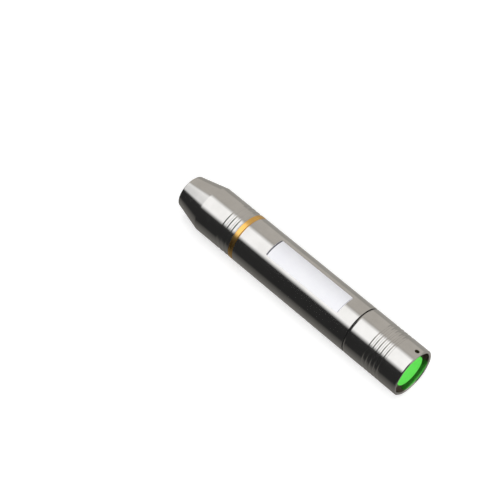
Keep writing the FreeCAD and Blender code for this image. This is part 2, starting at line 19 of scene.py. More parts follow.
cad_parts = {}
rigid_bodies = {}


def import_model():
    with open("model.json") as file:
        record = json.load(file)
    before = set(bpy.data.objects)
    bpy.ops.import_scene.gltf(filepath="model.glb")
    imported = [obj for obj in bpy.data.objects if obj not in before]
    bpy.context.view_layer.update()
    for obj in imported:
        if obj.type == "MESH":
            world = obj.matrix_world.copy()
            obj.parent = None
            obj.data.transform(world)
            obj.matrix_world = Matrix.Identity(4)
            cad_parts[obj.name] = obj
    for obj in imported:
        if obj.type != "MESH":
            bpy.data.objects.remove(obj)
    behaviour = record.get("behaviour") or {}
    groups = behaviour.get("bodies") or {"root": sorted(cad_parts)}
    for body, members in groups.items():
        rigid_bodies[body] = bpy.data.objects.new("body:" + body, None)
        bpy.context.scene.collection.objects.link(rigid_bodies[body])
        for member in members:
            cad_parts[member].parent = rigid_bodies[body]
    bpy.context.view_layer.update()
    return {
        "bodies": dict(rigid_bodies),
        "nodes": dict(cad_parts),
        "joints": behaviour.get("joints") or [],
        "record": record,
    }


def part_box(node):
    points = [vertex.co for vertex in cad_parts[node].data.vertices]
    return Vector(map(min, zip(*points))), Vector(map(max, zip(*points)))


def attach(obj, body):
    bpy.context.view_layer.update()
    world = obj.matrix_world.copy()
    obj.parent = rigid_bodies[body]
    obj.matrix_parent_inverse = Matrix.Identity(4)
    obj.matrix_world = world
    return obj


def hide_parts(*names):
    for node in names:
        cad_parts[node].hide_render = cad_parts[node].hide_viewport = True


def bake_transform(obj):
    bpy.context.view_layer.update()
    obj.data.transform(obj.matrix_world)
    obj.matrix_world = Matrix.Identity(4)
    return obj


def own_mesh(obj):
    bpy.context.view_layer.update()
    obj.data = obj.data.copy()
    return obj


LOG = logging.getLogger("egg_candler")
MM = 0.001
SIDES = 192
POLE_RADIUS = 1e-7
BLOTCHES = (0.3, 0.7)
TAIL_THREAD = 21.2 * MM
SHARP_ANGLE = math.radians(34)

Colour = tuple[float, float, float]
Outline = list[tuple[float, float]]
Warp = Callable[[float, float, float], float]


class Body(Enum):
    """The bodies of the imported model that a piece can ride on."""

    BARREL = "barrel"
    BATTERY = "battery"
    CAP = "cap"
    BUTTON = "button"
    TRIM = "trim"
    HEAD = "head"


class Slot(Enum):
    """The record's material slots."""

    STEEL = "polished_steel"
    GOLD = "gold"
    LABEL = "label"
    BOOT = "boot_rubber"
    BLACK_RUBBER = "black_rubber"
    BLACK_PLASTIC = "black_plastic"
    WHITE_PLASTIC = "white_plastic"
    SPRING = "spring_steel"
    BRASS = "brass"
    CIRCUIT_BOARD = "circuit_board"
    LAMP_BOARD = "lamp_board"
    WRAP = "battery_wrap"
    CAN = "battery_steel"
    PAPER = "paper"
    PLATING = "silver_plastic"
    CERAMIC = "ceramic"
    SILICONE = "silicone"
    GLASS = "glass"
    RED_WIRE = "wire_red"
    BLACK_WIRE = "wire_black"
    COMPONENT = "component"
    CAPACITOR = "capacitor"


class Hand(Enum):
    """The way a wound wire turns as its height grows."""

    LEFT = -1
    RIGHT = 1


@dataclass(frozen=True)
class Corner:
    """A corner of a turned profile, broken by a small arc of radius fillet."""

    height: float
    radius: float
    fillet: float = 0.06 * MM


@dataclass(frozen=True)
class Lie:
    """Where the torch lies: its tail rim, its axis above the floor and its radius."""

    tail_x: float
    axis_z: float
    radius: float

    @classmethod
    def read(cls) -> "Lie":
        """Reads the torch's place from the tail cap's box."""
        low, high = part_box("tail_cap")
        return cls(high.x, (low.z + high.z) / 2, high.y)

    def frame(self) -> Matrix:
        """The matrix from (radius * sin, radius * cos, height) to the model's frame."""
        return Matrix((
            (0, 0, -1, self.tail_x),
            (1, 0, 0, 0),
            (0, 1, 0, self.axis_z),
            (0, 0, 0, 1),
        ))

    def frame_facing(self, height: float, azimuth: float) -> Matrix:
        """The frame of a spindle that stands out from the axis.

        Args:
            height: The spindle's height above the tail rim.
            azimuth: Its direction round the torch.

        Returns:
            A matrix for Workshop.turn, whose heights are distances from the axis.
        """
        outward = Vector((0, math.sin(azimuth), math.cos(azimuth)))
        origin = Vector((self.tail_x - height, 0, self.axis_z))
        return Matrix.Translation(origin) @ outward.to_track_quat("Z", "Y").to_matrix().to_4x4()

    def frame_beside(self, side: float, up: float) -> Matrix:
        """The frame of a spindle along the torch, off its axis by side in Y and up in Z."""
        return Matrix.Translation((0, side, up)) @ self.frame()

    def span(self, node: str) -> tuple[float, float]:
        """The lowest and highest height of a CAD node above the tail rim."""
        low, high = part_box(node)
        return self.tail_x - high.x, self.tail_x - low.x

    def reach(self, node: str) -> float:
        """The greatest distance of a round CAD node from the axis."""
        low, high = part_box(node)
        return max(high.y, -low.y)


@dataclass(frozen=True)
class Thread:
    """A screw thread on a turned surface, drawn as a ridge that winds round it."""

    start: float
    end: float
    root: float
    crest: float
    crest_share: float = 0.3
    root_share: float = 0.2
    phase: float = 0.0
    pitch: float = 1.0 * MM
    rows_per_pitch: int = 10
    run_out: float = 0.8

    @classmethod
    def inside(cls, start: float, end: float, bore: float, depth: float) -> "Thread":
        """The thread in a bore, turned so that it meshes with the barrel's."""
        phase = 0.5 + (start - TAIL_THREAD) / cls.pitch % 1
        return cls(start, end, bore, bore - depth, 0.2, 0.4, phase)

    def rows(self) -> list[Corner]:
        """The corners of the profile along the thread, from its start to its end."""
        count = round((self.end - self.start) / self.pitch * self.rows_per_pitch)
        step = (self.end - self.start) / count
        return [Corner(self.start + i * step, self.root, 0.0) for i in range(count + 1)]

    def warp(self, height: float, radius: float, azimuth: float) -> float:
        """The radius of the threaded surface at a point of the plain one.

        Args:
            height: The point's height above the tail rim.
            radius: Its distance from the axis before the thread is cut.
            azimuth: Its direction round the torch.

        Returns:
            The radius on the thread's ridge, flank or root, or the radius as it came.
        """
        if abs(radius - self.root) > POLE_RADIUS or not self.start <= height <= self.end:
            return radius
        turn = (height - self.start) / self.pitch - azimuth / (2 * math.pi) + self.phase
        from_crest = abs(turn % 1 - 0.5) * 2
        flank = 1 - self.root_share - self.crest_share
        ridge = min(max((1 - self.root_share - from_crest) / flank, 0.0), 1.0)
        room = min(height - self.start, self.end - height)
        fade = min(room / (self.run_out * self.pitch), 1.0)
        return self.root + (self.crest - self.root) * ridge * fade


@dataclass(frozen=True)
class Winding:
    """A compression spring: heights of its two ends, radii, wire and turns."""

    start: float
    end: float
    start_radius: float
    end_radius: float
    wire: float
    turns: float
    hand: Hand = Hand.RIGHT
    end_closing: float = 0.3
    first_azimuth: float = math.pi / 2

    def centre(self, share: float) -> tuple[float, float, float]:
        """Height, radius and azimuth of the wire's centre at a share of its turns."""
        radius = self.start_radius + (self.end_radius - self.start_radius) * share
        wave = math.sin(2 * math.pi * share) / (2 * math.pi)
        climb = share - self.end_closing * wave
        first = self.start + math.copysign(self.wire, self.end - self.start)
        rise = self.end - self.start - 2 * math.copysign(self.wire, self.end - self.start)
        azimuth = self.first_azimuth + self.hand.value * 2 * math.pi * self.turns * share
        return first + rise * climb, radius, azimuth


def broken(corners: list[Corner], closed: bool = True) -> Outline:
    """Rounds the corners of a profile.

    Args:
        corners: The profile's corners in order.
        closed: Whether the last corner joins the first; an open profile keeps its two ends.

    Returns:
        Points (height, radius), with each fillet between two points that keep the faces
        beside it flat.
    """
    steps = 3
    greatest_share = 0.36
    flat_from = 1.3
    outline: Outline = []
    last = len(corners) - 1
    for index, corner in enumerate(corners):
        here = Vector((corner.height, corner.radius))
        if corner.fillet == 0 or (not closed and index in (0, last)):
            outline.append(tuple(here))
            continue
        before = corners[index - 1]
        after = corners[(index + 1) % len(corners)]
        back = Vector((before.height, before.radius)) - here
        forth = Vector((after.height, after.radius)) - here
        room = greatest_share * min(back.length, forth.length)
        reach = min(corner.fillet / math.tan(back.angle(forth) / 2), room)
        start = here + back.normalized() * reach
        end = here + forth.normalized() * reach
        outline.append(tuple(here + back.normalized() * flat_from * reach))
        for step in range(steps + 1):
            share = step / steps
            bend = start * (1 - share) ** 2 + here * 2 * share * (1 - share) + end * share**2
            outline.append(tuple(bend))
        outline.append(tuple(here + forth.normalized() * flat_from * reach))
    return outline


def arc_points(
    centre: tuple[float, float], radius: float, start: float, end: float, steps: int
) -> Outline:
    """Points of a round stretch of a profile.

    Args:
        centre: The arc's centre as (height, radius).
        radius: The arc's own radius.
        start: Its first angle, from the direction of growing height.
        end: Its last angle.
        steps: How many stretches the arc has.

    Returns:
        The points (height, radius) from the first angle to the last.
    """
    angles = [start + (end - start) * step / steps for step in range(steps + 1)]
    return [
        (centre[0] + radius * math.cos(angle), centre[1] + radius * math.sin(angle))
        for angle in angles
    ]


def spot(height: float, radius: float, azimuth: float) -> Vector:
    """A place by its height, its distance from the axis and its azimuth."""
    return Vector((radius * math.sin(azimuth), radius * math.cos(azimuth), height))


def link(name: str, data: bpy.types.ID) -> bpy.types.Object:
    """A new object in the scene that holds this data."""
    made = bpy.data.objects.new(name, data)
    bpy.context.scene.collection.objects.link(made)
    return made


class Workshop:
    """Makes the torch's meshes."""

    def __init__(self, lie: Lie) -> None:
        """Keeps the torch's place, about whose axis profiles are turned."""
        self.lie = lie

    def build(self, name: str, points: list[Vector], faces: list[list[int]]) -> bpy.types.Object:
        """Makes a smooth object from points and faces, with its normals outward.

        Args:
            name: The object's name.
            points: The vertices in the model's frame.
            faces: Each face's vertex numbers.

        Returns:
            The object, linked to the scene.
        """
        mesh = bpy.data.meshes.new(name)
        mesh.from_pydata(points, [], faces)
        shape = bmesh.new()
        shape.from_mesh(mesh)
        bmesh.ops.recalc_face_normals(shape, faces=shape.faces)
        shape.to_mesh(mesh)
        shape.free()
        self.smooth(mesh)
        return link(name, mesh)

    def smooth(self, mesh: bpy.types.Mesh) -> None:
        """Shades a mesh smooth, with its real edges kept sharp."""
        mesh.shade_smooth()
        mesh.set_sharp_from_angle(angle=SHARP_ANGLE)

    def turn(
        self,
        name: str,
        outline: Outline,
        closed: bool = True,
        sides: int = SIDES,
        warps: tuple[Warp, ...] = (),
        frame: Matrix | None = None,
    ) -> bpy.types.Object:
        """Turns a profile about an axis.

        Args:
            name: The object's name.
            outline: Points (height, radius); those of no radius become poles.
            closed: Whether the last point joins the first.
            sides: How many sides the round has.
            warps: Functions of height, radius and azimuth that change the radius.
            frame: The axis, or None for the torch's own.

        Returns:
            The turned object.
        """
        frame = frame or self.lie.frame()
        points: list[Vector] = []
        rings: list[list[int]] = []
        for height, radius in outline:
            count = 1 if radius < POLE_RADIUS else sides
            rings.append(list(range(len(points), len(points) + count)))
            for side in range(count):
                azimuth = 2 * math.pi * side / sides
                reach = radius
                for warp in warps:
                    reach = warp(height, reach, azimuth)
                points.append(frame @ spot(height, reach, azimuth))
        pairs = list(zip(rings, rings[1:]))
        if closed:
            pairs.append((rings[-1], rings[0]))
        faces = []
        for first, second in pairs:
            for side in range(sides):
                after = side + 1
                corners = [
                    first[side % len(first)],
                    first[after % len(first)],
                    second[after % len(second)],
                    second[side % len(second)],
                ]
                faces.append(list(dict.fromkeys(corners)))
        return self.build(name, points, [face for face in faces if len(face) > 2])

    def wind(self, name: str, winding: Winding, sides: int = 14) -> bpy.types.Object:
        """Winds a spring of round wire.

        Args:
            name: The object's name.
            winding: The spring's sizes.
            sides: How many sides the wire has.

        Returns:
            The spring, closed at both ends of its wire.
        """
        frame = self.lie.frame()
        steps_in_turn = 40
        steps = round(winding.turns * steps_in_turn)
        centres = [spot(*winding.centre(step / steps)) for step in range(steps + 1)]
        points: list[Vector] = []
        for step, centre in enumerate(centres):
            along = centres[min(step + 1, steps)] - centres[max(step - 1, 0)]
            outward = Vector((centre.x, centre.y, 0)).normalized()
            across = along.cross(outward).normalized()
            for side in range(sides):
                angle = 2 * math.pi * side / sides
                arm = outward * math.cos(angle) + across * math.sin(angle)
                points.append(frame @ (centre + arm * winding.wire))
        faces = [list(range(sides))[::-1], [steps * sides + side for side in range(sides)]]
        for step in range(steps):
            for side in range(sides):
                after = (side + 1) % sides
                low, high = step * sides, (step + 1) * sides
                faces.append([low + side, low + after, high + after, high + side])
        return self.build(name, points, faces)

    def slab(self, name: str, low: Vector, high: Vector, bevel: float) -> bpy.types.Object:
        """Makes a block with rounded edges.

        Args:
            name: The object's name.
            low: The block's lowest corner.
            high: Its highest corner.
            bevel: How far its edges are rounded.

        Returns:
            The block.
        """
        shape = bmesh.new()
        bmesh.ops.create_cube(shape, size=1.0)
        for vertex in shape.verts:
            vertex.co = Vector(
                middle + offset * size
                for middle, offset, size in zip((low + high) / 2, vertex.co, high - low)
            )
        bmesh.ops.bevel(
            shape, geom=shape.edges[:], offset=bevel, segments=3, profile=0.5, affect="EDGES"
        )
        mesh = bpy.data.meshes.new(name)
        shape.to_mesh(mesh)
        shape.free()
        self.smooth(mesh)
        return link(name, mesh)

    def drill(self, piece: bpy.types.Object, cutter: bpy.types.Object) -> None:
        """Cuts one object out of another and throws the cutter away."""
        cut = piece.modifiers.new("cut", "BOOLEAN")
        cut.object = cutter
        cut.solver = "EXACT"
        view = bpy.context.evaluated_depsgraph_get()
        mesh = bpy.data.meshes.new_from_object(piece.evaluated_get(view))
        piece.modifiers.clear()
        piece.data = mesh
        self.smooth(mesh)
        bpy.data.objects.remove(cutter)


class Socket:
    """A node's output, with the arithmetic that the finishes are written in."""

    def __init__(self, nodes: "Nodes", output: bpy.types.NodeSocket) -> None:
        """Keeps the output and the tree that it is in."""
        self.nodes = nodes
        self.output = output

    def sibling(self, name: str) -> "Socket":
        """Another output of the same node."""
        return Socket(self.nodes, self.output.node.outputs[name])

    def maths(self, operation: str, *values: "Socket | float") -> "Socket":
        """The result of a Math node on these values."""
        inputs = dict(enumerate(values))
        return self.nodes.make("ShaderNodeMath", {"operation": operation}, inputs)

    def __add__(self, other: "Socket | float") -> "Socket":
        """This plus the other."""
        return self.maths("ADD", self, other)

    def __radd__(self, other: "Socket | float") -> "Socket":
        """The other plus this."""
        return self.maths("ADD", other, self)

    def __sub__(self, other: "Socket | float") -> "Socket":
        """This minus the other."""
        return self.maths("SUBTRACT", self, other)

    def __rsub__(self, other: "Socket | float") -> "Socket":
        """The other minus this."""
        return self.maths("SUBTRACT", other, self)

    def __mul__(self, other: "Socket | float") -> "Socket":
        """This times the other."""
        return self.maths("MULTIPLY", self, other)

    def __rmul__(self, other: "Socket | float") -> "Socket":
        """The other times this."""
        return self.maths("MULTIPLY", other, self)

    def __truediv__(self, other: "Socket | float") -> "Socket":
        """This over the other."""
        return self.maths("DIVIDE", self, other)

    def __rtruediv__(self, other: "Socket | float") -> "Socket":
        """The other over this."""
        return self.maths("DIVIDE", other, self)

    def __abs__(self) -> "Socket":
        """This without its sign."""
        return self.maths("ABSOLUTE", self)

    def larger(self, other: "Socket | float") -> "Socket":
        """The larger of this and the other."""
        return self.maths("MAXIMUM", self, other)

    def angle_from(self, other: "Socket | float") -> "Socket":
        """The angle whose tangent is this over the other, in all four quarters."""
        return self.maths("ARCTAN2", self, other)

    def clamped(self) -> "Socket":
        """This, kept between 0 and 1."""
        return self.nodes.make("ShaderNodeClamp", {}, {0: self})

    def ramped(self, low: float, high: float) -> "Socket":
        """0 where this is low, 1 where it is high, and even between."""
        return ((self - low) / (high - low)).clamped()

    def between(self, low: float, high: float, soft: float) -> "Socket":
        """1 where this lies between two values, with soft edges."""
        return self.ramped(low - soft, low) * (1 - self.ramped(high, high + soft))


class Nodes:
    """The node tree of one finish."""

    def __init__(self, tree: bpy.types.NodeTree) -> None:
        """Empties the tree."""
        self.tree = tree
        tree.nodes.clear()

    def make(
        self,
        kind: str,
        settings: dict[str, object] | None = None,
        inputs: dict[int | str, object] | None = None,
        output: int | str = 0,
    ) -> Socket:
        """Adds a node.

        Args:
            kind: The node's type.
            settings: Its own settings, which are set first.
            inputs: A value or a Socket for each input, by name or number.
            output: The output to return.

        Returns:
            That output; a tree's last node has none.
        """
        node = self.tree.nodes.new(kind)
        for key, value in (settings or {}).items():
            setattr(node, key, value)
        for key, value in (inputs or {}).items():
            socket = node.inputs[key]
            if isinstance(value, Socket):
                self.tree.links.new(value.output, socket)
            elif socket.type == "RGBA":
                socket.default_value = (*value, 1.0)
            else:
                socket.default_value = value
        return Socket(self, node.outputs[output]) if len(node.outputs) else None

    def point(self) -> Socket:
        """A point's place in the torch's frame at rest."""
        return self.make("ShaderNodeTexCoord", output="Object")

    def place(self) -> tuple[Socket, Socket, Socket]:
        """That place's X, Y and Z."""
        x = self.make("ShaderNodeSeparateXYZ", {}, {0: self.point()}, "X")
        return x, x.sibling("Y"), x.sibling("Z")

    def vector(self, x: Socket, y: Socket, z: Socket) -> Socket:
        """Three numbers as a vector."""
        return self.make("ShaderNodeCombineXYZ", {}, {0: x, 1: y, 2: z})

    def noise(self, point: Socket, scale: float, detail: float = 2.0) -> Socket:
        """A cloudy pattern from 0 to 1 with scale features in a unit."""
        inputs = {"Vector": point, "Scale": scale, "Detail": detail}
        return self.make("ShaderNodeTexNoise", {}, inputs)

    def mix(self, share: Socket, first: Socket | Colour, second: Socket | Colour) -> Socket:
        """Two colours mixed by a share of the second."""
        factor, colour_a, colour_b, result = 0, 6, 7, 2
        inputs = {factor: share, colour_a: first, colour_b: second}
        return self.make("ShaderNodeMix", {"data_type": "RGBA"}, inputs, result)

    def bump(self, height: Socket, depth: float) -> Socket:
        """A normal bent by a relief of this depth."""
        inputs = {"Height": height, "Distance": depth, "Strength": 1.0}
        return self.make("ShaderNodeBump", {}, inputs)

    def surface(self, **inputs: object) -> None:
        """Ends the tree in a Principled shader; a name's words are joined by underscores."""
        named = {key.replace("_", " "): value for key, value in inputs.items()}
        shader = self.make("ShaderNodeBsdfPrincipled", {}, named)
        self.make("ShaderNodeOutputMaterial", {}, {"Surface": shader})


def new_material(name: str) -> tuple[bpy.types.Material, Nodes]:
    """A material and the nodes to write it in."""
    material = bpy.data.materials.new(name)
    material.use_nodes = True
    return material, Nodes(material.node_tree)


@dataclass(frozen=True)
class Finish:
    """What every finish has: a name, and the nodes of a material."""

    name: str

    def material(self) -> bpy.types.Material:
        """Makes the finish's material."""
        material, nodes = new_material(self.name)
        self.write(nodes)
        return material

    def write(self, nodes: Nodes) -> None:
        """Writes the finish's nodes."""
        raise NotImplementedError


@dataclass(frozen=True)
class TurnedMetal(Finish):
    """Metal off a lathe: fine lines round the axis, handling haze and hairline scratches."""

    colour: Colour
    shade: Colour
    roughness: float
    line_width: float = 0.14 * MM
    line_depth: float = 0.0012 * MM
    line_roughness: float = 0.05
    haze: float = 0.05
    haze_size: float = 9.0 * MM
    scratch: float = 0.015
    scratch_width: float = 0.006
    scratched: tuple[float, float] = (0.5, 0.62)
    scratch_drift: tuple[float, float, float] = (160.0, 70.0, 260.0)
    round_drift: float = 60.0

    def write(self, nodes: Nodes) -> None:
        """Writes the finish's nodes."""
        x, y, z = nodes.place()
        rings = nodes.vector(x / self.line_width, y * self.round_drift, z * self.round_drift)
        lines = nodes.noise(rings, 1.0, 3.0)
        haze = nodes.noise(nodes.point(), 1 / self.haze_size, 3.0)
        along, lean, round_it = self.scratch_drift
        strokes = nodes.vector(x * along + y * lean, y * round_it, z * round_it)
        drift = nodes.noise(strokes, 1.0, 1.0)
        hair = 1 - (abs(drift - 0.5) / self.scratch_width).clamped()
        patchy = hair * haze.ramped(*self.scratched)
        rough = self.roughness + (haze - 0.5) * self.haze
        rough = rough + (lines - 0.5) * self.line_roughness
        nodes.surface(
            Base_Color=nodes.mix(haze.ramped(*BLOTCHES), self.colour, self.shade),
            Metallic=1.0,
            Roughness=(rough + patchy * self.scratch).clamped(),
            Normal=nodes.bump(lines, self.line_depth),
        )


@dataclass(frozen=True)
class Moulding(Finish):
    """Rubber, plastic, paper or ceramic: a mottled colour over a fine grain."""

    colour: Colour
    shade: Colour
    roughness: float
    mottle: float = 2.5 * MM
    grain: float = 0.18 * MM
    grain_depth: float = 0.006 * MM
    grain_roughness: float = 0.12
    shine: float = 0.5
    coat: float = 0.0

    def write(self, nodes: Nodes) -> None:
        """Writes the finish's nodes."""
        point = nodes.point()
        cloud = nodes.noise(point, 1 / self.mottle, 3.0)
        grain = nodes.noise(point, 1 / self.grain, 2.0)
        nodes.surface(
            Base_Color=nodes.mix(cloud.ramped(*BLOTCHES), self.colour, self.shade),
            Roughness=(self.roughness + (grain - 0.5) * self.grain_roughness).clamped(),
            Normal=nodes.bump(grain, self.grain_depth),
            Specular_IOR_Level=self.shine,
            Coat_Weight=self.coat,
        )


@dataclass(frozen=True)
class LabelPlate(Finish):
    """The bare label: satin white with a dark line at its mouth end and a faint one behind."""

    tail_x: float
    start: float
    end: float
    colour: Colour = (0.89, 0.89, 0.92)
    shade: Colour = (0.86, 0.86, 0.90)
    line_colour: Colour = (0.10, 0.10, 0.115)
    faint_colour: Colour = (0.42, 0.42, 0.46)
    roughness: float = 0.42
    dark_line: float = 0.7 * MM
    faint_line: float = 0.25 * MM
    margin: float = 0.12 * MM
    soft: float = 0.04 * MM
    cloud: float = 6.0 * MM
    cloudy: tuple[float, float] = (0.35, 0.65)
    grain: float = 0.12 * MM
    grain_depth: float = 0.002 * MM
    grain_roughness: float = 0.15
    coat: float = 0.15

    def write(self, nodes: Nodes) -> None:
        """Writes the finish's nodes."""
        point = nodes.point()
        height = self.tail_x - nodes.place()[0]
        cloud = nodes.noise(point, 1 / self.cloud, 3.0)
        grain = nodes.noise(point, 1 / self.grain, 2.0)
        dark_end = self.end - self.margin
        dark = height.between(dark_end - self.dark_line, dark_end, self.soft)
        faint_start = self.start + self.margin
        faint = height.between(faint_start, faint_start + self.faint_line, self.soft)
        plain = nodes.mix(cloud.ramped(*self.cloudy), self.colour, self.shade)
        ruled = nodes.mix(faint, plain, self.faint_colour)
        nodes.surface(
            Base_Color=nodes.mix(dark, ruled, self.line_colour),
            Roughness=(self.roughness + (grain - 0.5) * self.grain_roughness).clamped(),
            Normal=nodes.bump(grain, self.grain_depth),
            Coat_Weight=self.coat,
        )


@dataclass(frozen=True)
class SolderMask(Finish):
    """A circuit board: lacquer with tracks that show through as raised lines."""

    colour: Colour
    track_colour: Colour
    cell: float = 1.6 * MM
    track: float = 0.10
    track_height: float = 0.03 * MM
    grain: float = 0.3 * MM
    grain_roughness: float = 0.15
    roughness: float = 0.3
    coat: float = 0.4

    def write(self, nodes: Nodes) -> None:
        """Writes the finish's nodes."""
        point = nodes.point()
        settings = {"feature": "DISTANCE_TO_EDGE"}
        inputs = {"Vector": point, "Scale": 1 / self.cell}
        edge = nodes.make("ShaderNodeTexVoronoi", settings, inputs)
        tracks = 1 - edge.ramped(self.track * 0.7, self.track)
        grain = nodes.noise(point, 1 / self.grain, 2.0)
        nodes.surface(
            Base_Color=nodes.mix(tracks, self.colour, self.track_colour),
            Roughness=(self.roughness + (grain - 0.5) * self.grain_roughness).clamped(),
            Normal=nodes.bump(tracks, self.track_height),
            Coat_Weight=self.coat,
        )


@dataclass(frozen=True)
class Plating(Finish):
    """Bright plating with the slight ripple of orange peel."""

    colour: Colour
    roughness: float
    ripple: float = 0.9 * MM
    ripple_depth: float = 0.012 * MM
    cloud: float = 5.0 * MM
    cloud_roughness: float = 0.05

    def write(self, nodes: Nodes) -> None:
        """Writes the finish's nodes."""
        point = nodes.point()
        peel = nodes.noise(point, 1 / self.ripple, 1.0)
        cloud = nodes.noise(point, 1 / self.cloud, 2.0)
        nodes.surface(
            Base_Color=self.colour,
            Metallic=1.0,
            Roughness=(self.roughness + (cloud - 0.5) * self.cloud_roughness).clamped(),
            Normal=nodes.bump(peel, self.ripple_depth),
        )


@dataclass(frozen=True)
class Clear(Finish):
    """Clear glass or silicone, with a trace of dust in its roughness."""

    colour: Colour
    ior: float
    roughness: float
    coat: float = 0.0
    dust: float = 2.0 * MM
    dusty: tuple[float, float] = (0.62, 0.8)
    dust_roughness: float = 0.04

    def write(self, nodes: Nodes) -> None:
        """Writes the finish's nodes."""
        dust = nodes.noise(nodes.point(), 1 / self.dust, 3.0)
        trace = dust.ramped(*self.dusty) * self.dust_roughness
        nodes.surface(
            Base_Color=self.colour,
            Roughness=(self.roughness + trace).clamped(),
            IOR=self.ior,
            Transmission_Weight=1.0,
            Coat_Weight=self.coat,
        )


@dataclass(frozen=True)
class Phosphor(Finish):
    """The lamp's yellow phosphor, lit."""

    colour: Colour = (0.95, 0.75, 0.18)
    glow: Colour = (1.0, 0.86, 0.62)
    strength: float = 4.0
    grain: float = 0.25 * MM
    roughness: float = 0.6

    def write(self, nodes: Nodes) -> None:
        """Writes the finish's nodes."""
        grain = nodes.noise(nodes.point(), 1 / self.grain, 2.0)
        nodes.surface(
            Base_Color=self.colour,
            Roughness=self.roughness,
            Emission_Color=nodes.mix(grain.ramped(*BLOTCHES), self.glow, self.colour),
            Emission_Strength=self.strength,
        )


class Palette:
    """Every finish of the torch by its slot, made once."""

    def __init__(self, lie: Lie) -> None:
        """Makes the finishes; the label's lines need the torch's place."""
        label_start, label_end = lie.span("label")
        finishes: dict[Slot, Finish] = {
            Slot.STEEL: TurnedMetal("steel", (0.66, 0.65, 0.635), (0.60, 0.59, 0.575), 0.13),
            Slot.GOLD: TurnedMetal("gold", (0.92, 0.56, 0.17), (0.86, 0.50, 0.14), 0.28),
            Slot.LABEL: LabelPlate("label_plate", lie.tail_x, label_start, label_end),
            Slot.BOOT: Moulding(
                "boot_rubber", (0.12, 0.86, 0.085), (0.105, 0.82, 0.075), 0.55,
                mottle=1.1 * MM, grain=0.25 * MM, grain_depth=0.012 * MM, shine=0.3,
            ),
            Slot.BLACK_RUBBER: Moulding("black_rubber", (0.01,) * 3, (0.018,) * 3, 0.6, shine=0.15),
            Slot.BLACK_PLASTIC: Moulding("black_plastic", (0.02,) * 3, (0.028,) * 3, 0.42),
            Slot.WHITE_PLASTIC: Moulding(
                "white_plastic", (0.80, 0.80, 0.77), (0.74, 0.74, 0.70), 0.45
            ),
            Slot.SPRING: TurnedMetal("spring_wire", (0.72, 0.71, 0.69), (0.64, 0.63, 0.61), 0.22),
            Slot.BRASS: TurnedMetal("brass", (0.80, 0.58, 0.25), (0.70, 0.48, 0.19), 0.24),
            Slot.CIRCUIT_BOARD: SolderMask(
                "circuit_board", (0.02, 0.16, 0.06), (0.04, 0.27, 0.10)
            ),
            Slot.LAMP_BOARD: SolderMask("lamp_board", (0.78, 0.78, 0.76), (0.70, 0.70, 0.68)),
            Slot.WRAP: Moulding(
                "battery_wrap", (0.02, 0.075, 0.30), (0.017, 0.06, 0.25), 0.24,
                mottle=12 * MM, grain=0.6 * MM, grain_depth=0.004 * MM, coat=0.3,
            ),
            Slot.CAN: TurnedMetal("battery_can", (0.68, 0.67, 0.64), (0.60, 0.59, 0.56), 0.27),
            Slot.PAPER: Moulding("paper", (0.78, 0.77, 0.70), (0.70, 0.69, 0.62), 0.8),
            Slot.PLATING: Plating("plating", (0.91, 0.91, 0.92), 0.07),
            Slot.CERAMIC: Moulding("ceramic", (0.84, 0.84, 0.82), (0.79, 0.79, 0.77), 0.35),
            Slot.SILICONE: Clear("silicone", (1.0, 0.98, 0.92), 1.41, 0.03),
            Slot.GLASS: Clear("glass", (0.975, 0.99, 0.985), 1.46, 0.0, coat=0.2),
            Slot.RED_WIRE: Moulding("red_wire", (0.55, 0.02, 0.018), (0.45, 0.015, 0.014), 0.35),
            Slot.BLACK_WIRE: Moulding("black_wire", (0.018,) * 3, (0.03,) * 3, 0.35),
            Slot.COMPONENT: Moulding("component", (0.03,) * 3, (0.045,) * 3, 0.5),
            Slot.CAPACITOR: Moulding(
                "capacitor", (0.42, 0.28, 0.16), (0.36, 0.23, 0.13), 0.45
            ),
        }
        self.materials = {slot: finish.material() for slot, finish in finishes.items()}
        self.phosphor = Phosphor("phosphor").material()
        # A dark steel that paints shade into the lanyard hole; the recess's floor gets the same
        # dark steel.
        dark = TurnedMetal("painted_shade_steel", (0.15, 0.11, 0.075), (0.10, 0.075, 0.05), 0.45)
        self.painted_shade = dark.material()

    def dress(
        self, piece: bpy.types.Object, slot: Slot, body: Body | None, *nodes: str
    ) -> bpy.types.Object:
        """Gives a new piece its finish and its place in the model.

        Args:
            piece: The piece.
            slot: The record's slot that its finish comes from.
            body: The body that it rides on, or None where it rides on none.
            nodes: The CAD nodes that it stands for.

        Returns:
            The piece.
        """
        piece.data.materials.clear()
        piece.data.materials.append(self.materials[slot])
        if body:
            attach(piece, body.value)
        if nodes:
            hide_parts(*nodes)
        LOG.info("%s: %s, %d faces", piece.name, slot.value, len(piece.data.polygons))
        return piece

    def repaint(self, node: bpy.types.Object, slot: Slot) -> None:
        """Gives a CAD node its finish."""
        node.material_slots[0].material = self.materials[slot]
        LOG.info("%s: the CAD node, %s", node.name, slot.value)


@dataclass
class SubAssembly:
    """A sub-assembly of the torch, most of whose pieces are turned."""

    shop: Workshop
    palette: Palette

    def turned(
        self,
        name: str,
        corners: list[Corner],
        slot: Slot,
        body: Body | None,
        *nodes: str,
        **turning: object,
    ) -> bpy.types.Object:
        """Breaks a profile's corners, turns it and dresses the piece.

        Args:
            name: The piece's name.
            corners: Its profile.
            slot: The slot that its finish comes from.
            body: The body that it rides on, or None where it rides on none.
            nodes: The CAD nodes that it stands for.
            turning: What Workshop.turn takes besides the name and the outline.

        Returns:
            The piece.
        """
        outline = broken(corners, turning.get("closed", True))
        piece = self.shop.turn(name, outline, **turning)
        return self.palette.dress(piece, slot, body, *nodes)


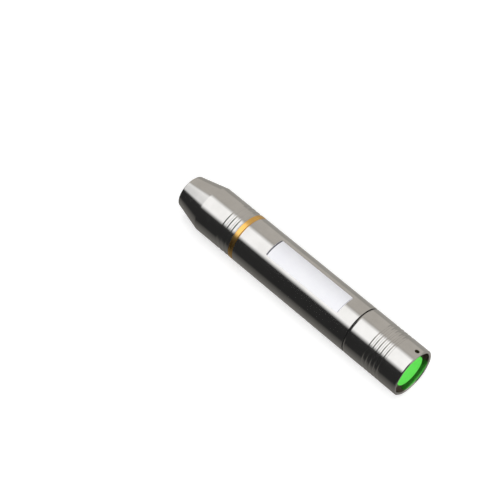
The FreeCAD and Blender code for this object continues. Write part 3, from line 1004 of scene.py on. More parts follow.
@dataclass(frozen=True)
class Grip:
    """A row of grip grooves, steep towards the tail, where their edge is broken, then sloping."""

    first: float
    pitch: float
    count: int
    width: float
    depth: float
    steep_side: float = 0.1 * MM
    sloping_side: float = 0.4 * MM
    chamfer: float = 0.18 * MM
    edge: float = 0.06 * MM

    def corners(self, radius: float) -> list[Corner]:
        """The grooves' corners on a surface of this radius, by growing height."""
        floor = radius - self.depth
        found = []
        for index in range(self.count):
            start = self.first + index * self.pitch - self.width / 2
            end = start + self.width
            found += [
                Corner(start - self.chamfer, radius, self.edge),
                Corner(start, radius - self.chamfer, self.edge),
                Corner(start + self.steep_side, floor, self.edge),
                Corner(end - self.sloping_side, floor, self.edge),
                Corner(end, radius, self.edge),
            ]
        return found


@dataclass
class TailCap(SubAssembly):
    """The steel cap with its button recess, grip, lanyard hole and inner thread."""

    rim_chamfer: float = 0.4 * MM
    recess_chamfer: float = 0.3 * MM
    joint_length: float = 0.65 * MM
    joint_depth: float = 0.28 * MM
    recess_radius: float = 10.65 * MM
    recess_depth: float = 3.8 * MM
    flange_end: float = 5.0 * MM
    flange_hole: float = 8.15 * MM
    switch_bore: float = 10.0 * MM
    screw_bore: float = 11.0 * MM
    screw_start: float = 19.5 * MM
    thread_start: float = 21.3 * MM
    thread_end: float = 27.3 * MM
    thread_depth: float = 0.4 * MM
    lead_in: float = 0.15 * MM
    lanyard_height: float = 2.2 * MM
    lanyard_azimuth: float = math.radians(18.4)
    lanyard_radius: float = 1.0 * MM
    lanyard_flare: float = 0.1 * MM
    grip: Grip = Grip(10.63 * MM, 2.18 * MM, 5, 1.25 * MM, 0.45 * MM)

    def build(self) -> None:
        """Makes the cap and drills its lanyard hole."""
        lie = self.shop.lie
        outer = lie.radius
        end = lie.span("tail_cap")[1]
        bore = self.screw_bore
        thread = Thread.inside(self.thread_start, self.thread_end, bore, self.thread_depth)
        corners = [
            Corner(0, self.recess_radius + self.recess_chamfer),
            Corner(0, outer - self.rim_chamfer),
            Corner(self.rim_chamfer, outer),
            *self.grip.corners(outer),
            Corner(end - self.joint_length, outer, 0.12 * MM),
            Corner(end, outer - self.joint_depth, 0.08 * MM),
            Corner(end, bore + self.lead_in),
            Corner(end - self.lead_in, bore),
            *thread.rows()[::-1],
            Corner(self.screw_start, bore),
            Corner(self.screw_start, self.switch_bore),
            Corner(self.flange_end, self.switch_bore),
            Corner(self.flange_end, self.flange_hole),
            Corner(self.recess_depth, self.flange_hole, 0.15 * MM),
            Corner(self.recess_depth, self.recess_radius, 0.2 * MM),
            Corner(self.recess_chamfer, self.recess_radius),
        ]
        cap = self.shop.turn("cap_shell", broken(corners), warps=(thread.warp,))
        self.shop.drill(cap, self.lanyard_cutter())
        self.palette.dress(cap, Slot.STEEL, Body.CAP, "tail_cap")
        self.paint_hole_shade_and_floor(cap)

    def lanyard_frame(self) -> Matrix:
        """The frame whose spindle is the lanyard hole's axis."""
        return self.shop.lie.frame_facing(self.lanyard_height, self.lanyard_azimuth)

    def lanyard_cutter(self) -> bpy.types.Object:
        """The lanyard hole as a solid, with a flare that breaks its outer edge."""
        outer = self.shop.lie.radius
        hole = self.lanyard_radius
        start = self.recess_radius - 1 * MM
        flare = self.lanyard_flare
        outline = [
            (start, 0),
            (start, hole),
            (outer - 1.25 * flare, hole),
            (outer + flare, hole + 2 * flare),
            (outer + flare, 0),
        ]
        frame = self.lanyard_frame()
        return self.shop.turn("lanyard_cutter", outline, closed=False, sides=48, frame=frame)

    def paint_hole_shade_and_floor(self, cap: bpy.types.Object) -> None:
        """Paints shade onto the lanyard hole's wall with a dark steel, and gives the recess's floor
        the same dark steel.
        """
        cap.data.materials.append(self.palette.painted_shade)
        inward = self.lanyard_frame().inverted()
        reach = self.lanyard_radius + 2 * self.lanyard_flare
        floor = self.shop.lie.tail_x - self.recess_depth
        steepest_wall = 0.85
        floor_room = 0.3 * MM
        flattest_floor = 0.5
        for face in cap.data.polygons:
            middle = inward @ face.center
            near_hole = middle.z > 0 and math.hypot(middle.x, middle.y) < reach
            on_wall = abs((inward.to_3x3() @ face.normal).z) < steepest_wall
            near_floor = abs(face.center.x - floor) < floor_room
            # Faces on the hole's wall get the dark steel as painted shade; faces on the recess's
            # floor get it too.
            if (near_hole and on_wall) or (near_floor and face.normal.x > flattest_floor):
                face.material_index = 1


@dataclass
class PushSwitch(SubAssembly):
    """The green boot, the switch behind it and the contact spring for the battery."""

    nodes: dict[str, bpy.types.Object]
    travel: float
    face_height: float = 1.5 * MM
    face_thickness: float = 1.4 * MM
    face_crown: float = 0.12 * MM
    edge_radius: float = 0.45 * MM
    wall: float = 1.5 * MM
    web: float = 0.5 * MM
    skirt_inner: float = 8.4 * MM
    pusher_radius: float = 2.2 * MM
    pusher_end: float = 6.1 * MM
    flex: float = 2.0 * MM
    tail_wire: float = 0.4 * MM
    tail_coil: tuple[float, float] = (6.2 * MM, 3.4 * MM)
    tail_turns: float = 4.5
    switch_wire: float = 0.18 * MM
    switch_coil: tuple[float, float] = (2.1 * MM, 2.1 * MM)
    switch_turns: float = 5.0
    blade_inset: float = 0.25 * MM
    pad_radii: tuple[float, float] = (5.3 * MM, 7.1 * MM)
    pad_lift: float = 0.05 * MM
    solder_radii: tuple[float, float, float] = (1.25 * MM, 0.9 * MM, 0.35 * MM)
    solder_rises: tuple[float, float, float] = (0.25 * MM, 0.75 * MM, 0.8 * MM)

    def build(self) -> None:
        """Makes the boot and the springs, and finishes the CAD's switch."""
        self.boot()
        self.springs()
        self.solder()
        for name, slot in {
            "switch_spacer": Slot.BLACK_PLASTIC,
            "switch_housing": Slot.BLACK_PLASTIC,
            "switch_plunger": Slot.WHITE_PLASTIC,
            "switch_terminals": Slot.BRASS,
            "switch_board": Slot.CIRCUIT_BOARD,
            "switch_ring": Slot.BRASS,
        }.items():
            self.palette.repaint(self.nodes[name], slot)

    def boot(self) -> None:
        """Makes the boot as one moulding, and the pusher behind its face that rides on the button.
        """
        lie = self.shop.lie
        radius = lie.reach("boot_crown")
        flange, skirt_end = lie.span("boot_skirt")
        skirt = lie.reach("boot_skirt")
        inside = radius - self.wall
        back = self.face_height + self.face_thickness
        steps = 10
        face = []
        for step in range(steps):
            share = step / steps
            drop = self.face_crown * share**2
            face.append(Corner(self.face_height + drop, share * (radius - self.edge_radius), 0.0))
        corners = [
            *face,
            Corner(self.face_height + self.face_crown, radius, self.edge_radius),
            Corner(flange, radius, 0.15 * MM),
            Corner(flange, skirt),
            Corner(skirt_end, skirt),
            Corner(skirt_end, self.skirt_inner),
            Corner(flange + self.web, self.skirt_inner, 0.15 * MM),
            Corner(flange + self.web, inside, 0.1 * MM),
            Corner(back, inside, 0.3 * MM),
            Corner(back, 0, 0.0),
        ]
        nodes = ("boot_crown", "boot_skirt")
        boot = self.turned("rubber_boot", corners, Slot.BOOT, None, *nodes, closed=False)
        still = lie.frame() @ Vector((0, 0, flange))
        moving = lie.frame() @ Vector((0, 0, flange - self.flex))
        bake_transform(boot)
        post = [
            Corner(back - self.face_thickness / 4, 0, 0.0),
            Corner(back - self.face_thickness / 4, self.pusher_radius),
            Corner(self.pusher_end, self.pusher_radius, 0.15 * MM),
            Corner(self.pusher_end, 0, 0.0),
        ]
        self.turned("boot_pusher", post, Slot.BOOT, Body.BUTTON, closed=False, sides=64)

    def springs(self) -> None:
        """Winds the switch's return spring and the battery's contact spring."""
        lie = self.shop.lie
        start, end = lie.span("switch_spring")
        small = Winding(start, end, *self.switch_coil, self.switch_wire, self.switch_turns)
        spring = self.shop.wind("return_spring", small, sides=10)
        self.palette.dress(spring, Slot.SPRING, Body.CAP, "switch_spring")
        keep = 1 - self.travel / (end - start)
        anchor = lie.frame() @ Vector((0, 0, end))
        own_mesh(spring)
        start, end = lie.span("tail_spring")
        large = Winding(start, end, *self.tail_coil, self.tail_wire, self.tail_turns)
        contact = self.shop.wind("contact_spring", large)
        self.palette.dress(contact, Slot.SPRING, Body.CAP, "tail_spring")

    def solder(self) -> None:
        """Adds the solder at both blades and the pad that the contact spring sits on."""
        lie = self.shop.lie
        board_end = lie.span("switch_board")[1]
        foot, shoulder, tip = self.solder_radii
        low_rise, high_rise, top_rise = self.solder_rises
        low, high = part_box("switch_terminals")
        for index, side in enumerate((low.y, high.y)):
            blade = side - math.copysign(self.blade_inset, side)
            joint = [
                Corner(board_end, 0, 0.0),
                Corner(board_end, foot, 0.05 * MM),
                Corner(board_end + low_rise, shoulder, 0.3 * MM),
                Corner(board_end + high_rise, tip, 0.1 * MM),
                Corner(board_end + top_rise, 0, 0.0),
            ]
            self.turned(
                f"blade_solder_{index}", joint, Slot.CAN, Body.CAP,
                closed=False, sides=32, frame=lie.frame_beside(blade, 0),
            )
        inner, outer = self.pad_radii
        pad = [
            Corner(board_end - self.pad_lift, inner, 0.01 * MM),
            Corner(board_end + self.pad_lift, inner, 0.02 * MM),
            Corner(board_end + self.pad_lift, outer, 0.02 * MM),
            Corner(board_end - self.pad_lift, outer, 0.01 * MM),
        ]
        self.turned("spring_pad", pad, Slot.BRASS, Body.CAP, sides=96)


@dataclass
class Barrel(SubAssembly):
    """The battery tube with its two threaded spigots, sealing rings and label."""

    bore: float = 9.4 * MM
    spigot: float = 10.95 * MM
    root: float = 10.4 * MM
    spigot_start: float = 19.7 * MM
    tail_thread_end: float = 27.4 * MM
    tail_relief_end: float = 28.1 * MM
    head_relief_start: float = 105.4 * MM
    head_thread_start: float = 106.1 * MM
    head_thread_end: float = 111.2 * MM
    spigot_end: float = 112.0 * MM
    end_chamfer: float = 0.5 * MM
    thread_room: float = 0.2 * MM
    joint_fillet: float = 0.3 * MM
    seal_squeeze: float = 0.25 * MM
    seal_room: float = 0.05 * MM
    ring_chamfer: float = 0.15 * MM
    ring_groove: float = 10.1 * MM
    ring_room: float = 0.15 * MM
    ring_wire: float = 0.4 * MM
    ring_mean: float = 10.55 * MM
    label_lift: float = 0.05 * MM
    label_azimuth: float = math.radians(-4.1)
    label_half_angle: float = math.radians(25.5)
    label_corner: float = 0.9 * MM

    def build(self) -> None:
        """Makes the tube, the joint's black seal, both sealing rings and the label."""
        self.tube()
        self.seals()
        self.label()

    def groove(self, node: str) -> list[Corner]:
        """The corners of the groove that a sealing ring lies in."""
        start, end = self.shop.lie.span(node)
        low, high = start - self.ring_room, end + self.ring_room
        return [
            Corner(low, self.spigot),
            Corner(low, self.ring_groove),
            Corner(high, self.ring_groove),
            Corner(high, self.spigot),
        ]

    def tube(self) -> None:
        """Makes the steel tube."""
        lie = self.shop.lie
        outer = lie.radius
        start = lie.span("joint_seal")[1] - self.seal_squeeze
        end = lie.span("gold_ring")[0]
        slope = self.end_chamfer / 2
        tail = Thread(TAIL_THREAD, self.tail_thread_end, self.root, self.spigot)
        shift = (self.head_thread_start - TAIL_THREAD) / tail.pitch % 1
        head = Thread(
            self.head_thread_start, self.head_thread_end, self.root, self.spigot, phase=shift
        )
        corners = [
            Corner(self.spigot_start, self.bore),
            Corner(self.spigot_start, self.root - slope),
            Corner(self.spigot_start + self.end_chamfer, self.root),
            *tail.rows(),
            Corner(self.tail_thread_end + self.thread_room, self.root),
            Corner(self.tail_relief_end, self.spigot),
            *self.groove("tail_o_ring"),
            Corner(start, self.spigot),
            Corner(start, outer, self.joint_fillet),
            Corner(end - self.ring_chamfer, outer),
            Corner(end, outer - self.ring_chamfer),
            Corner(end, self.spigot),
            *self.groove("front_o_ring"),
            Corner(self.head_relief_start, self.spigot),
            Corner(self.head_thread_start - self.thread_room, self.root),
            *head.rows(),
            Corner(self.spigot_end - self.end_chamfer, self.root),
            Corner(self.spigot_end, self.root - slope),
            Corner(self.spigot_end, self.bore),
        ]
        warps = (tail.warp, head.warp)
        self.turned("barrel_shell", corners, Slot.STEEL, Body.BARREL, "barrel_tube", warps=warps)

    def seals(self) -> None:
        """Makes the joint's seal, which stays on the barrel, and the two rings in the spigots."""
        lie = self.shop.lie
        start, end = lie.span("joint_seal")
        end -= self.seal_squeeze
        outer = lie.reach("joint_seal")
        inner = self.spigot + self.seal_room
        section = [
            Corner(start, inner, 0.05 * MM),
            Corner(start, outer, 0.12 * MM),
            Corner(end, outer, 0.12 * MM),
            Corner(end, inner, 0.05 * MM),
        ]
        self.turned("joint_ring", section, Slot.BLACK_RUBBER, Body.BARREL, "joint_seal")
        for node in ("tail_o_ring", "front_o_ring"):
            start, end = lie.span(node)
            middle = ((start + end) / 2, self.ring_mean)
            outline = arc_points(middle, self.ring_wire, 0, 2 * math.pi, 20)[:-1]
            ring = self.shop.turn(node + "_cord", outline, sides=128)
            self.palette.dress(ring, Slot.BLACK_RUBBER, Body.BARREL, node)

    def label(self) -> None:
        """Makes the label as a thin curved plate with rounded corners."""
        start, end = self.shop.lie.span("label")
        rows = self.plate_rows(start, end)
        across = 32
        points: list[Vector] = []
        outside = self.shop.lie.radius + self.label_lift
        inside = self.shop.lie.radius - self.label_lift
        frame = self.shop.lie.frame()
        rounding = 0.4 * self.label_lift
        for radius in (inside, outside):
            for height, half in rows:
                for step in range(across + 1):
                    share = 2 * step / across - 1
                    azimuth = self.label_azimuth + half * share
                    on_edge = abs(share) == 1 or height in (rows[0][0], rows[-1][0])
                    reach = radius - (rounding if on_edge and radius == outside else 0)
                    points.append(frame @ spot(height, reach, azimuth))
        wide = across + 1
        sheet = wide * len(rows)
        faces = []
        for row in range(len(rows) - 1):
            for step in range(across):
                low = row * wide + step
                face = [low, low + 1, low + wide + 1, low + wide]
                faces.append(face)
                faces.append([sheet + corner for corner in reversed(face)])
        border = [step for step in range(wide)]
        border += [row * wide + across for row in range(1, len(rows))]
        border += [(len(rows) - 1) * wide + step for step in range(across - 1, -1, -1)]
        border += [row * wide for row in range(len(rows) - 2, 0, -1)]
        for here, there in zip(border, border[1:] + border[:1]):
            faces.append([here, there, sheet + there, sheet + here])
        plate = self.shop.build("label_plate", points, faces)
        self.palette.dress(plate, Slot.LABEL, Body.BARREL, "label")

    def plate_rows(self, start: float, end: float) -> list[tuple[float, float]]:
        """Rows (height, half angle) of the label, narrower at its rounded ends."""
        radius = self.shop.lie.radius
        steps = 6
        stretches = 24
        corner = []
        for step in range(steps + 1):
            angle = math.pi / 2 * step / steps
            height = self.label_corner * (1 - math.sin(angle))
            inset = self.label_corner * (1 - math.cos(angle)) / radius
            corner.append((height, self.label_half_angle - inset))
        corner = corner[::-1]
        middle = [
            (start + (end - start) * share / stretches, self.label_half_angle)
            for share in range(2, stretches - 1)
        ]
        first = [(start + height, half) for height, half in corner]
        last = [(end - height, half) for height, half in corner[::-1]]
        return first + middle + last


@dataclass
class Battery(SubAssembly):
    """The lithium cell: can, shrunk sleeve, paper washer and vented button."""

    crimp_below_top: float = 3.6 * MM
    crimp_half: float = 0.8 * MM
    crimp_depth: float = 0.45 * MM
    wrap_lip: float = 1.6 * MM
    wrap_thickness: float = 0.1 * MM
    washer_hole: float = 4.4 * MM
    cap_height: float = 0.5 * MM
    button_radius: float = 2.8 * MM
    button_slope: float = 0.4 * MM
    vents: int = 3
    vent_share: float = 0.45
    vent_drop: float = 0.35 * MM
    vent_depth: float = 0.5 * MM

    def crimp(self, top: float, radius: float) -> list[Corner]:
        """The corners of the groove under the can's closed end, by growing height."""
        middle = top - self.crimp_below_top
        half = self.crimp_half
        depth = self.crimp_depth
        return [
            Corner(middle - half, radius, 0.25 * MM),
            Corner(middle - half / 2, radius - depth, 0.3 * MM),
            Corner(middle + half / 2, radius - depth, 0.3 * MM),
            Corner(middle + half, radius, 0.25 * MM),
        ]

    def build(self) -> None:
        """Makes the cell's four pieces."""
        lie = self.shop.lie
        start, end = lie.span("battery_cell")
        can = lie.reach("battery_cell")
        body = [
            Corner(start, 0, 0.0),
            Corner(start, can, 0.5 * MM),
            *self.crimp(end, can),
            Corner(end, can, 0.4 * MM),
            Corner(end, 0, 0.0),
        ]
        self.turned(
            "cell_can", body, Slot.CAN, Body.BATTERY, "battery_cell", closed=False, sides=128
        )
        self.sleeve(end, can)
        low, high = lie.span("battery_insulator")
        hole = self.washer_hole
        washer = [Corner(low, hole), Corner(low, can), Corner(high, can), Corner(high, hole)]
        self.turned(
            "paper_washer", washer, Slot.PAPER, Body.BATTERY, "battery_insulator", sides=96
        )
        self.button(end)

    def sleeve(self, cell_end: float, can: float) -> None:
        """Makes the shrunk sleeve, folded over both ends.

        Args:
            cell_end: The height where the can ends.
            can: The can's radius.
        """
        start, end = self.shop.lie.span("battery_wrap")
        outer = self.shop.lie.reach("battery_wrap")
        lip = outer - self.wrap_lip
        thin = self.wrap_thickness
        corners = [
            Corner(start, lip, 0.03 * MM),
            Corner(start, outer, 0.55 * MM),
            *self.crimp(cell_end, outer),
            Corner(end, outer, 0.45 * MM),
            Corner(end, lip, 0.03 * MM),
            Corner(end - thin, lip, 0.03 * MM),
            Corner(end - thin, can, 0.35 * MM),
            *self.crimp(cell_end, can)[::-1],
            Corner(start + thin, can, 0.45 * MM),
            Corner(start + thin, lip, 0.03 * MM),
        ]
        self.turned(
            "shrunk_sleeve", corners, Slot.WRAP, Body.BATTERY, "battery_wrap", sides=128
        )

    def button(self, cell_end: float) -> None:
        """Makes the positive button, with its vents pressed into the slope."""
        lie = self.shop.lie
        end = lie.span("battery_terminal")[1]
        wide = lie.reach("battery_terminal")
        step = cell_end + self.cap_height
        foot = self.button_radius + self.button_slope
        vent_top = end - self.vent_drop

        def vented(height: float, radius: float, azimuth: float) -> float:
            """Draws the button in where one of its vents is."""
            if not step < height < vent_top or radius > foot:
                return radius
            share = azimuth / (2 * math.pi) * self.vents % 1
            return radius - self.vent_depth if share < self.vent_share else radius

        corners = [
            Corner(cell_end, 0, 0.0),
            Corner(cell_end, wide),
            Corner(step, wide, 0.12 * MM),
            Corner(step, foot),
            Corner(step + 0.12 * MM, foot - 0.05 * MM, 0.0),
            Corner(vent_top - 0.05 * MM, self.button_radius + 0.1 * MM, 0.0),
            Corner(vent_top + 0.05 * MM, self.button_radius + 0.08 * MM, 0.0),
            Corner(end, self.button_radius, 0.2 * MM),
            Corner(end, 0, 0.0),
        ]
        self.turned(
            "vented_button", corners, Slot.CAN, Body.BATTERY, "battery_terminal",
            closed=False, sides=96, warps=(vented,),
        )


@dataclass
class Head(SubAssembly):
    """The gold ring and the steel head that narrows to the mouth."""

    mouth_radius: float = 8.4 * MM
    mouth_edge: float = 0.3 * MM
    lip_radius: float = 7.2 * MM
    lip_flare: float = 0.35 * MM
    lip_start: float = 135.1 * MM
    cone_start: float = 124.4 * MM
    seat_radius: float = 8.3 * MM
    seat_start: float = 131.6 * MM
    pill_seat: float = 10.35 * MM
    inner_cone_start: float = 122.8 * MM
    bore: float = 11.0 * MM
    bore_end: float = 112.4 * MM
    ring_chamfer: float = 0.15 * MM
    ring_bevel: float = 0.42 * MM
    thread_start: float = 106.2 * MM
    thread_end: float = 111.2 * MM
    thread_depth: float = 0.4 * MM
    grip: Grip = Grip(104.2 * MM, 2.7 * MM, 3, 1.75 * MM, 0.4 * MM)

    def build(self) -> None:
        """Makes the ring and the head."""
        lie = self.shop.lie
        outer = lie.radius
        start, end = lie.span("gold_ring")
        chamfer = self.ring_chamfer
        bevel = self.ring_bevel
        section = [
            Corner(start, self.bore),
            Corner(start, outer - bevel),
            Corner(start + bevel, outer),
            Corner(end - chamfer, outer),
            Corner(end, outer - chamfer),
            Corner(end, self.bore),
        ]
        self.turned("trim_ring", section, Slot.GOLD, Body.TRIM, "gold_ring")
        self.shell()

    def shell(self) -> None:
        """Makes the head's shell with the thread inside it."""
        lie = self.shop.lie
        outer = lie.radius
        start, end = lie.span("head_shell")
        thread = Thread.inside(self.thread_start, self.thread_end, self.bore, self.thread_depth)
        corners = [
            Corner(start, self.bore),
            Corner(start, outer - self.ring_chamfer),
            Corner(start + self.ring_chamfer, outer),
            *self.grip.corners(outer),
            Corner(self.cone_start, outer, 0.25 * MM),
            Corner(end, self.mouth_radius, self.mouth_edge),
            Corner(end, self.lip_radius + self.lip_flare, 0.05 * MM),
            Corner(end - self.lip_flare, self.lip_radius, 0.05 * MM),
            Corner(self.lip_start, self.lip_radius),
            Corner(self.lip_start, self.seat_radius),
            Corner(self.seat_start, self.seat_radius),
            Corner(self.inner_cone_start, self.pill_seat),
            Corner(self.bore_end, self.pill_seat),
            Corner(self.bore_end, self.bore),
            *thread.rows()[::-1],
        ]
        warps = (thread.warp,)
        self.turned("head_casing", corners, Slot.STEEL, Body.HEAD, "head_shell", warps=warps)


@dataclass
class Lamp(SubAssembly):
    """The pill with its driver and wires, the light source and the optics before it."""

    nodes: dict[str, bpy.types.Object]
    spring_wire: float = 0.3 * MM
    spring_coil: tuple[float, float] = (3.4 * MM, 1.8 * MM)
    spring_turns: float = 4.5
    package_edge: float = 0.12 * MM
    solder_radius: float = 0.95 * MM
    solder_height: float = 0.7 * MM
    solder_sink: float = 0.1 * MM
    solder_taper: float = 0.7
    die_side: float = 2.3 * MM
    die_height: float = 0.06 * MM
    mouth_radius: float = 7.7 * MM
    throat_radius: float = 2.9 * MM
    throat_length: float = 0.3 * MM
    base_radius: float = 4.6 * MM
    base_length: float = 0.8 * MM
    waist: tuple[float, float, float] = (126.0 * MM, 6.6 * MM, 1.5 * MM)
    rim_length: float = 1.4 * MM
    lens_chamfer: float = 0.2 * MM
    gasket_hole: float = 7.3 * MM

    def build(self) -> None:
        """Makes the light source and optics, and finishes the CAD's driver."""
        self.front_spring()
        self.source()
        self.reflector()
        self.window()
        for name, slot in {
            "pill": Slot.BRASS,
            "driver_board": Slot.CIRCUIT_BOARD,
            "driver_inductor": Slot.COMPONENT,
            "driver_chip": Slot.COMPONENT,
            "driver_capacitors": Slot.CAPACITOR,
            "wire_positive": Slot.RED_WIRE,
            "wire_negative": Slot.BLACK_WIRE,
            "led_board": Slot.LAMP_BOARD,
            "centring_ring": Slot.WHITE_PLASTIC,
        }.items():
            self.palette.repaint(self.nodes[name], slot)

    def front_spring(self) -> None:
        """Winds the positive contact spring from the driver board to the battery."""
        start, end = self.shop.lie.span("front_spring")
        coil = self.spring_coil
        winding = Winding(end, start, *coil, self.spring_wire, self.spring_turns, Hand.LEFT)
        spring = self.shop.wind("positive_spring", winding)
        self.palette.dress(spring, Slot.SPRING, Body.HEAD, "front_spring")

    def source(self) -> None:
        """Makes the emitter's package, its phosphor, its dome and the wires' solder."""
        lie = self.shop.lie
        low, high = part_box("led_emitter")
        package = self.shop.slab("led_package", low, high, self.package_edge)
        self.palette.dress(package, Slot.CERAMIC, Body.HEAD, "led_emitter")
        middle = (low + high) / 2
        half = Vector((0, self.die_side / 2, self.die_side / 2))
        front = Vector((low.x, middle.y, middle.z))
        rise = Vector((self.die_height, 0, 0))
        die = self.shop.slab("phosphor_die", front - half - rise, front + half + rise, 0.02 * MM)
        self.palette.dress(die, Slot.SILICONE, Body.HEAD)
        die.data.materials[0] = self.palette.phosphor
        base, crown = lie.span("led_dome")
        radius = crown - base
        outline = [(base, 0.0)]
        outline += arc_points((base, 0.0), radius, math.pi / 2, 0, 24)
        dome = self.shop.turn("clear_dome", outline, closed=False, sides=64)
        self.palette.dress(dome, Slot.SILICONE, Body.HEAD, "led_dome")
        board = lie.span("led_board")[1]
        top = self.solder_radius * self.solder_taper
        for name in ("wire_positive", "wire_negative"):
            low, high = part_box(name)
            bead = [
                Corner(board - self.solder_sink, 0, 0.0),
                Corner(board - self.solder_sink, self.solder_radius, 0.05 * MM),
                Corner(board + self.solder_height, top, 0.3 * MM),
                Corner(board + self.solder_height, 0, 0.0),
            ]
            self.turned(
                name + "_solder", bead, Slot.CAN, Body.HEAD,
                closed=False, sides=32, frame=lie.frame_beside((low.y + high.y) / 2, 0),
            )

    def reflector(self) -> None:
        """Makes the parabolic cup."""
        lie = self.shop.lie
        base, front = lie.span("reflector")
        rim = lie.reach("reflector")
        throat = base + self.throat_length
        growth = (self.mouth_radius**2 - self.throat_radius**2) / (front - throat)
        steps = 36
        crowding = 0.6
        bowl = []
        for step in range(steps + 1):
            height = front + (throat - front) * (step / steps) ** crowding
            radius = math.sqrt(self.throat_radius**2 + growth * (height - throat))
            bowl.append(Corner(height, radius, 0.0))
        corners = [
            Corner(base, self.throat_radius, 0.04 * MM),
            Corner(base, self.base_radius),
            Corner(base + self.base_length, self.base_radius, 0.2 * MM),
            Corner(*self.waist),
            Corner(front - self.rim_length, rim),
            Corner(front, rim),
            *bowl,
        ]
        self.turned("reflector_cup", corners, Slot.PLATING, Body.HEAD, "reflector")

    def window(self) -> None:
        """Makes the glass window and the gasket before it."""
        lie = self.shop.lie
        start, end = lie.span("lens")
        rim = lie.reach("lens")
        chamfer = self.lens_chamfer
        corners = [
            Corner(start, 0, 0.0),
            Corner(start, rim - chamfer, 0.03 * MM),
            Corner(start + chamfer, rim, 0.03 * MM),
            Corner(end - chamfer, rim, 0.03 * MM),
            Corner(end, rim - chamfer, 0.03 * MM),
            Corner(end, 0, 0.0),
        ]
        self.turned("window_glass", corners, Slot.GLASS, Body.HEAD, "lens", closed=False)
        start, end = lie.span("lens_gasket")
        hole = self.gasket_hole
        section = [Corner(start, hole), Corner(start, rim), Corner(end, rim), Corner(end, hole)]
        self.turned("window_gasket", section, Slot.BLACK_RUBBER, Body.HEAD, "lens_gasket")


@dataclass(frozen=True)
class SoftLamp:
    """A soft lamp that faces the torch: where it hangs, its length and width, and its watts."""

    name: str
    place: tuple[float, float, float]
    size: tuple[float, float]
    watts: float


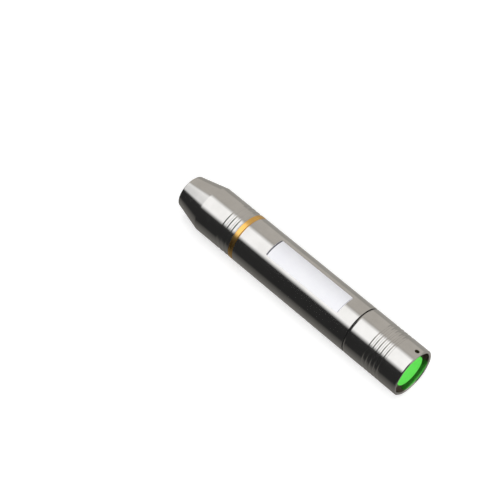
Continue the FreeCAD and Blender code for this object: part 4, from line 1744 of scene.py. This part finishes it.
@dataclass
class Studio:
    """The pale floor, the soft lamps, the cards that polished surfaces see and the camera.

    Spreads and grey_begins are degrees round the torch, from the top towards +Y.
    """

    lie: Lie
    floor_size: float = 12.0
    floor_drop: float = 0.05 * MM
    floor_colour: Colour = (0.80, 0.80, 0.80)
    floor_glow: float = 0.45
    shadow_fades: tuple[float, float] = (0.12, 0.5)
    card_radius: float = 0.6
    card_start: float = -1.6
    card_end: float = 1.2
    card_spread: tuple[float, float] = (-92.0, 92.0)
    card_lift: float = 0.3 * MM
    card_strength: float = 1.5
    panel_spread: tuple[float, float] = (-40.0, 10.0)
    panel_edge: float = 15.0
    panel_reach: tuple[float, float] = (-0.8, 0.4)
    panel_fade: float = 0.3
    grey_begins: tuple[float, float] = (0.0, 30.0)
    floor_grey_begins: tuple[float, float] = (-40 * MM, 20 * MM)
    white: Colour = (0.95, 0.95, 0.95)
    grey: Colour = (0.40, 0.38, 0.35)
    floor_grey: Colour = (0.28, 0.27, 0.25)
    black: Colour = (0.02, 0.02, 0.02)
    world_light: float = 0.28
    lamps: tuple[SoftLamp, ...] = (
        SoftLamp("key_lamp", (-0.02, -0.13, 0.75), (1.0, 0.6), 3.4),
        SoftLamp("tail_lamp", (0.62, -0.30, 0.36), (0.5, 0.5), 3.3),
    )
    azimuth: float = math.radians(45.215)
    elevation: float = math.radians(54.963)
    distance: float = 0.79992
    lens: float = 126.64
    aim_height: float = 96.23 * MM
    aim_side: float = -4.05 * MM

    def build(self) -> None:
        """Sets up the floor, cards, lamps, world and camera."""
        bpy.context.scene.view_settings.view_transform = "Standard"
        self.floor()
        self.overhead_card()
        self.floor_card()
        for lamp in self.lamps:
            self.hang(lamp)
        self.world()
        self.camera()

    def seen(self, nodes: Nodes) -> Socket:
        """1 for rays that show the background: camera, glossy and transmission rays."""
        path = nodes.make("ShaderNodeLightPath", output="Is Camera Ray")
        glossy = path.sibling("Is Glossy Ray")
        return path.larger(glossy).larger(path.sibling("Is Transmission Ray"))

    def sheet(self, name: str, points: list[Vector], wide: int) -> bpy.types.Object:
        """A stage object made of rows of points.

        Args:
            name: The object's name.
            points: The points, row by row.
            wide: How many points a row has.

        Returns:
            The object, linked to the scene.
        """
        faces = []
        for start in range(0, len(points) - wide, wide):
            for step in range(wide - 1):
                low = start + step
                faces.append([low, low + 1, low + wide + 1, low + wide])
        mesh = bpy.data.meshes.new(name)
        mesh.from_pydata(points, [], faces)
        made = link(name, mesh)
        return made

    def floor(self) -> None:
        """Lays the pale floor, which shows white and keeps the torch's shadow."""
        half = self.floor_size / 2
        height = -self.floor_drop
        points = [Vector((x, y, height)) for x in (-half, half) for y in (-half, half)]
        floor = self.sheet("floor", points, 2)
        material, nodes = new_material("floor")
        length = {"operation": "LENGTH"}
        far = nodes.make("ShaderNodeVectorMath", length, {0: nodes.point()}, "Value")
        glow = self.floor_glow + far.ramped(*self.shadow_fades) * (1 - self.floor_glow)
        light = nodes.make("ShaderNodeEmission", {}, {"Strength": self.seen(nodes) * glow})
        matt = nodes.make("ShaderNodeBsdfDiffuse", {}, {"Color": self.floor_colour})
        both = nodes.make("ShaderNodeAddShader", {}, {0: light, 1: matt})
        nodes.make("ShaderNodeOutputMaterial", {}, {"Surface": both})
        floor.data.materials.append(material)

    def card(self, piece: bpy.types.Object, material: bpy.types.Material) -> None:
        """Makes a stage object a card that only polished surfaces see."""
        piece.data.materials.append(material)
        material.cycles.emission_sampling = "NONE"
        piece.visible_camera = False
        piece.visible_diffuse = False
        piece.visible_transmission = False
        piece.visible_volume_scatter = False
        piece.visible_shadow = False

    def glow(self, nodes: Nodes, colour: Socket) -> None:
        """Ends a card's tree in an even glow of a colour."""
        inputs = {"Color": colour, "Strength": self.card_strength}
        light = nodes.make("ShaderNodeEmission", {}, inputs)
        nodes.make("ShaderNodeOutputMaterial", {}, {"Surface": light})

    def overhead_card(self) -> None:
        """Hangs a soft white panel overhead, dark to the front and grey behind."""
        steps = 48
        low, high = self.card_spread
        middle = 0.02 * self.card_radius
        points = []
        for x, radius in (
            (self.card_start, middle),
            (self.card_start, self.card_radius),
            (self.card_end, self.card_radius),
            (self.card_end, middle),
        ):
            for step in range(steps + 1):
                angle = math.radians(low + (high - low) * step / steps)
                side = radius * math.sin(angle)
                points.append(Vector((x, side, self.lie.axis_z + radius * math.cos(angle))))
        panel = self.sheet("overhead_card", points, steps + 1)
        material, nodes = new_material("overhead_card")
        x, y, z = nodes.place()
        angle = y.angle_from(z - self.lie.axis_z) * (180 / math.pi)
        behind = nodes.mix(angle.ramped(*self.grey_begins), self.black, self.grey)
        across = angle.between(*self.panel_spread, self.panel_edge)
        along = x.between(*self.panel_reach, self.panel_fade)
        self.glow(nodes, nodes.mix(across * along, behind, self.white))
        self.card(panel, material)

    def floor_card(self) -> None:
        """Lays a card on the floor: grey by the torch, black in front and grey behind."""
        wide = self.card_radius
        points = [
            Vector((x, y, self.card_lift))
            for x in (self.card_start, self.card_end)
            for y in (-wide, wide)
        ]
        card = self.sheet("floor_card", points, 2)
        material, nodes = new_material("floor_card")
        y = nodes.place()[1]
        lit = y.ramped(*self.floor_grey_begins)
        self.glow(nodes, nodes.mix(lit, self.black, self.floor_grey))
        self.card(card, material)

    def hang(self, soft: SoftLamp) -> None:
        """Hangs a soft lamp that faces the torch."""
        light = bpy.data.lights.new(soft.name, "AREA")
        light.shape = "RECTANGLE"
        light.size, light.size_y = soft.size
        light.energy = soft.watts
        lamp = link(soft.name, light)
        lamp.location = soft.place
        toward = Vector((0, 0, self.lie.axis_z)) - Vector(soft.place)
        lamp.rotation_mode = "QUATERNION"
        lamp.rotation_quaternion = toward.to_track_quat("-Z", "X")
        lamp.visible_glossy = False

    def world(self) -> None:
        """Lights the scene evenly from all round, and shows white behind it."""
        world = bpy.data.worlds.new("studio")
        world.use_nodes = True
        bpy.context.scene.world = world
        nodes = Nodes(world.node_tree)
        strength = self.world_light + self.seen(nodes) * (1 - self.world_light)
        inputs = {"Color": (1.0, 1.0, 1.0), "Strength": strength}
        light = nodes.make("ShaderNodeBackground", {}, inputs)
        nodes.make("ShaderNodeOutputWorld", {}, {"Surface": light})

    def camera(self) -> None:
        """Sets the camera level, at the photograph's angle."""
        data = bpy.data.cameras.new("camera")
        data.lens = self.lens
        data.clip_start = 0.01
        camera = link("camera", data)
        flat = math.cos(self.elevation)
        back = Vector((
            math.sin(self.azimuth) * flat,
            -math.cos(self.azimuth) * flat,
            math.sin(self.elevation),
        ))
        aim = Vector((self.lie.tail_x - self.aim_height, self.aim_side, self.lie.axis_z))
        camera.location = aim + back * self.distance
        camera.rotation_mode = "QUATERNION"
        camera.rotation_quaternion = (-back).to_track_quat("-Z", "Y")
        bpy.context.scene.camera = camera


def main() -> None:
    """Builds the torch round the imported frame, and the studio round the torch."""
    logging.basicConfig(level=logging.INFO, format="%(message)s")
    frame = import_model()
    lie = Lie.read()
    shop = Workshop(lie)
    palette = Palette(lie)
    nodes = frame["nodes"]
    press = next(joint for joint in frame["joints"] if joint["name"] == "button_press")
    TailCap(shop, palette).build()
    PushSwitch(shop, palette, nodes, press["range_m"][1]).build()
    Barrel(shop, palette).build()
    Battery(shop, palette).build()
    Head(shop, palette).build()
    Lamp(shop, palette, nodes).build()
    Studio(lie).build()


if __name__ == "__main__":
    main()
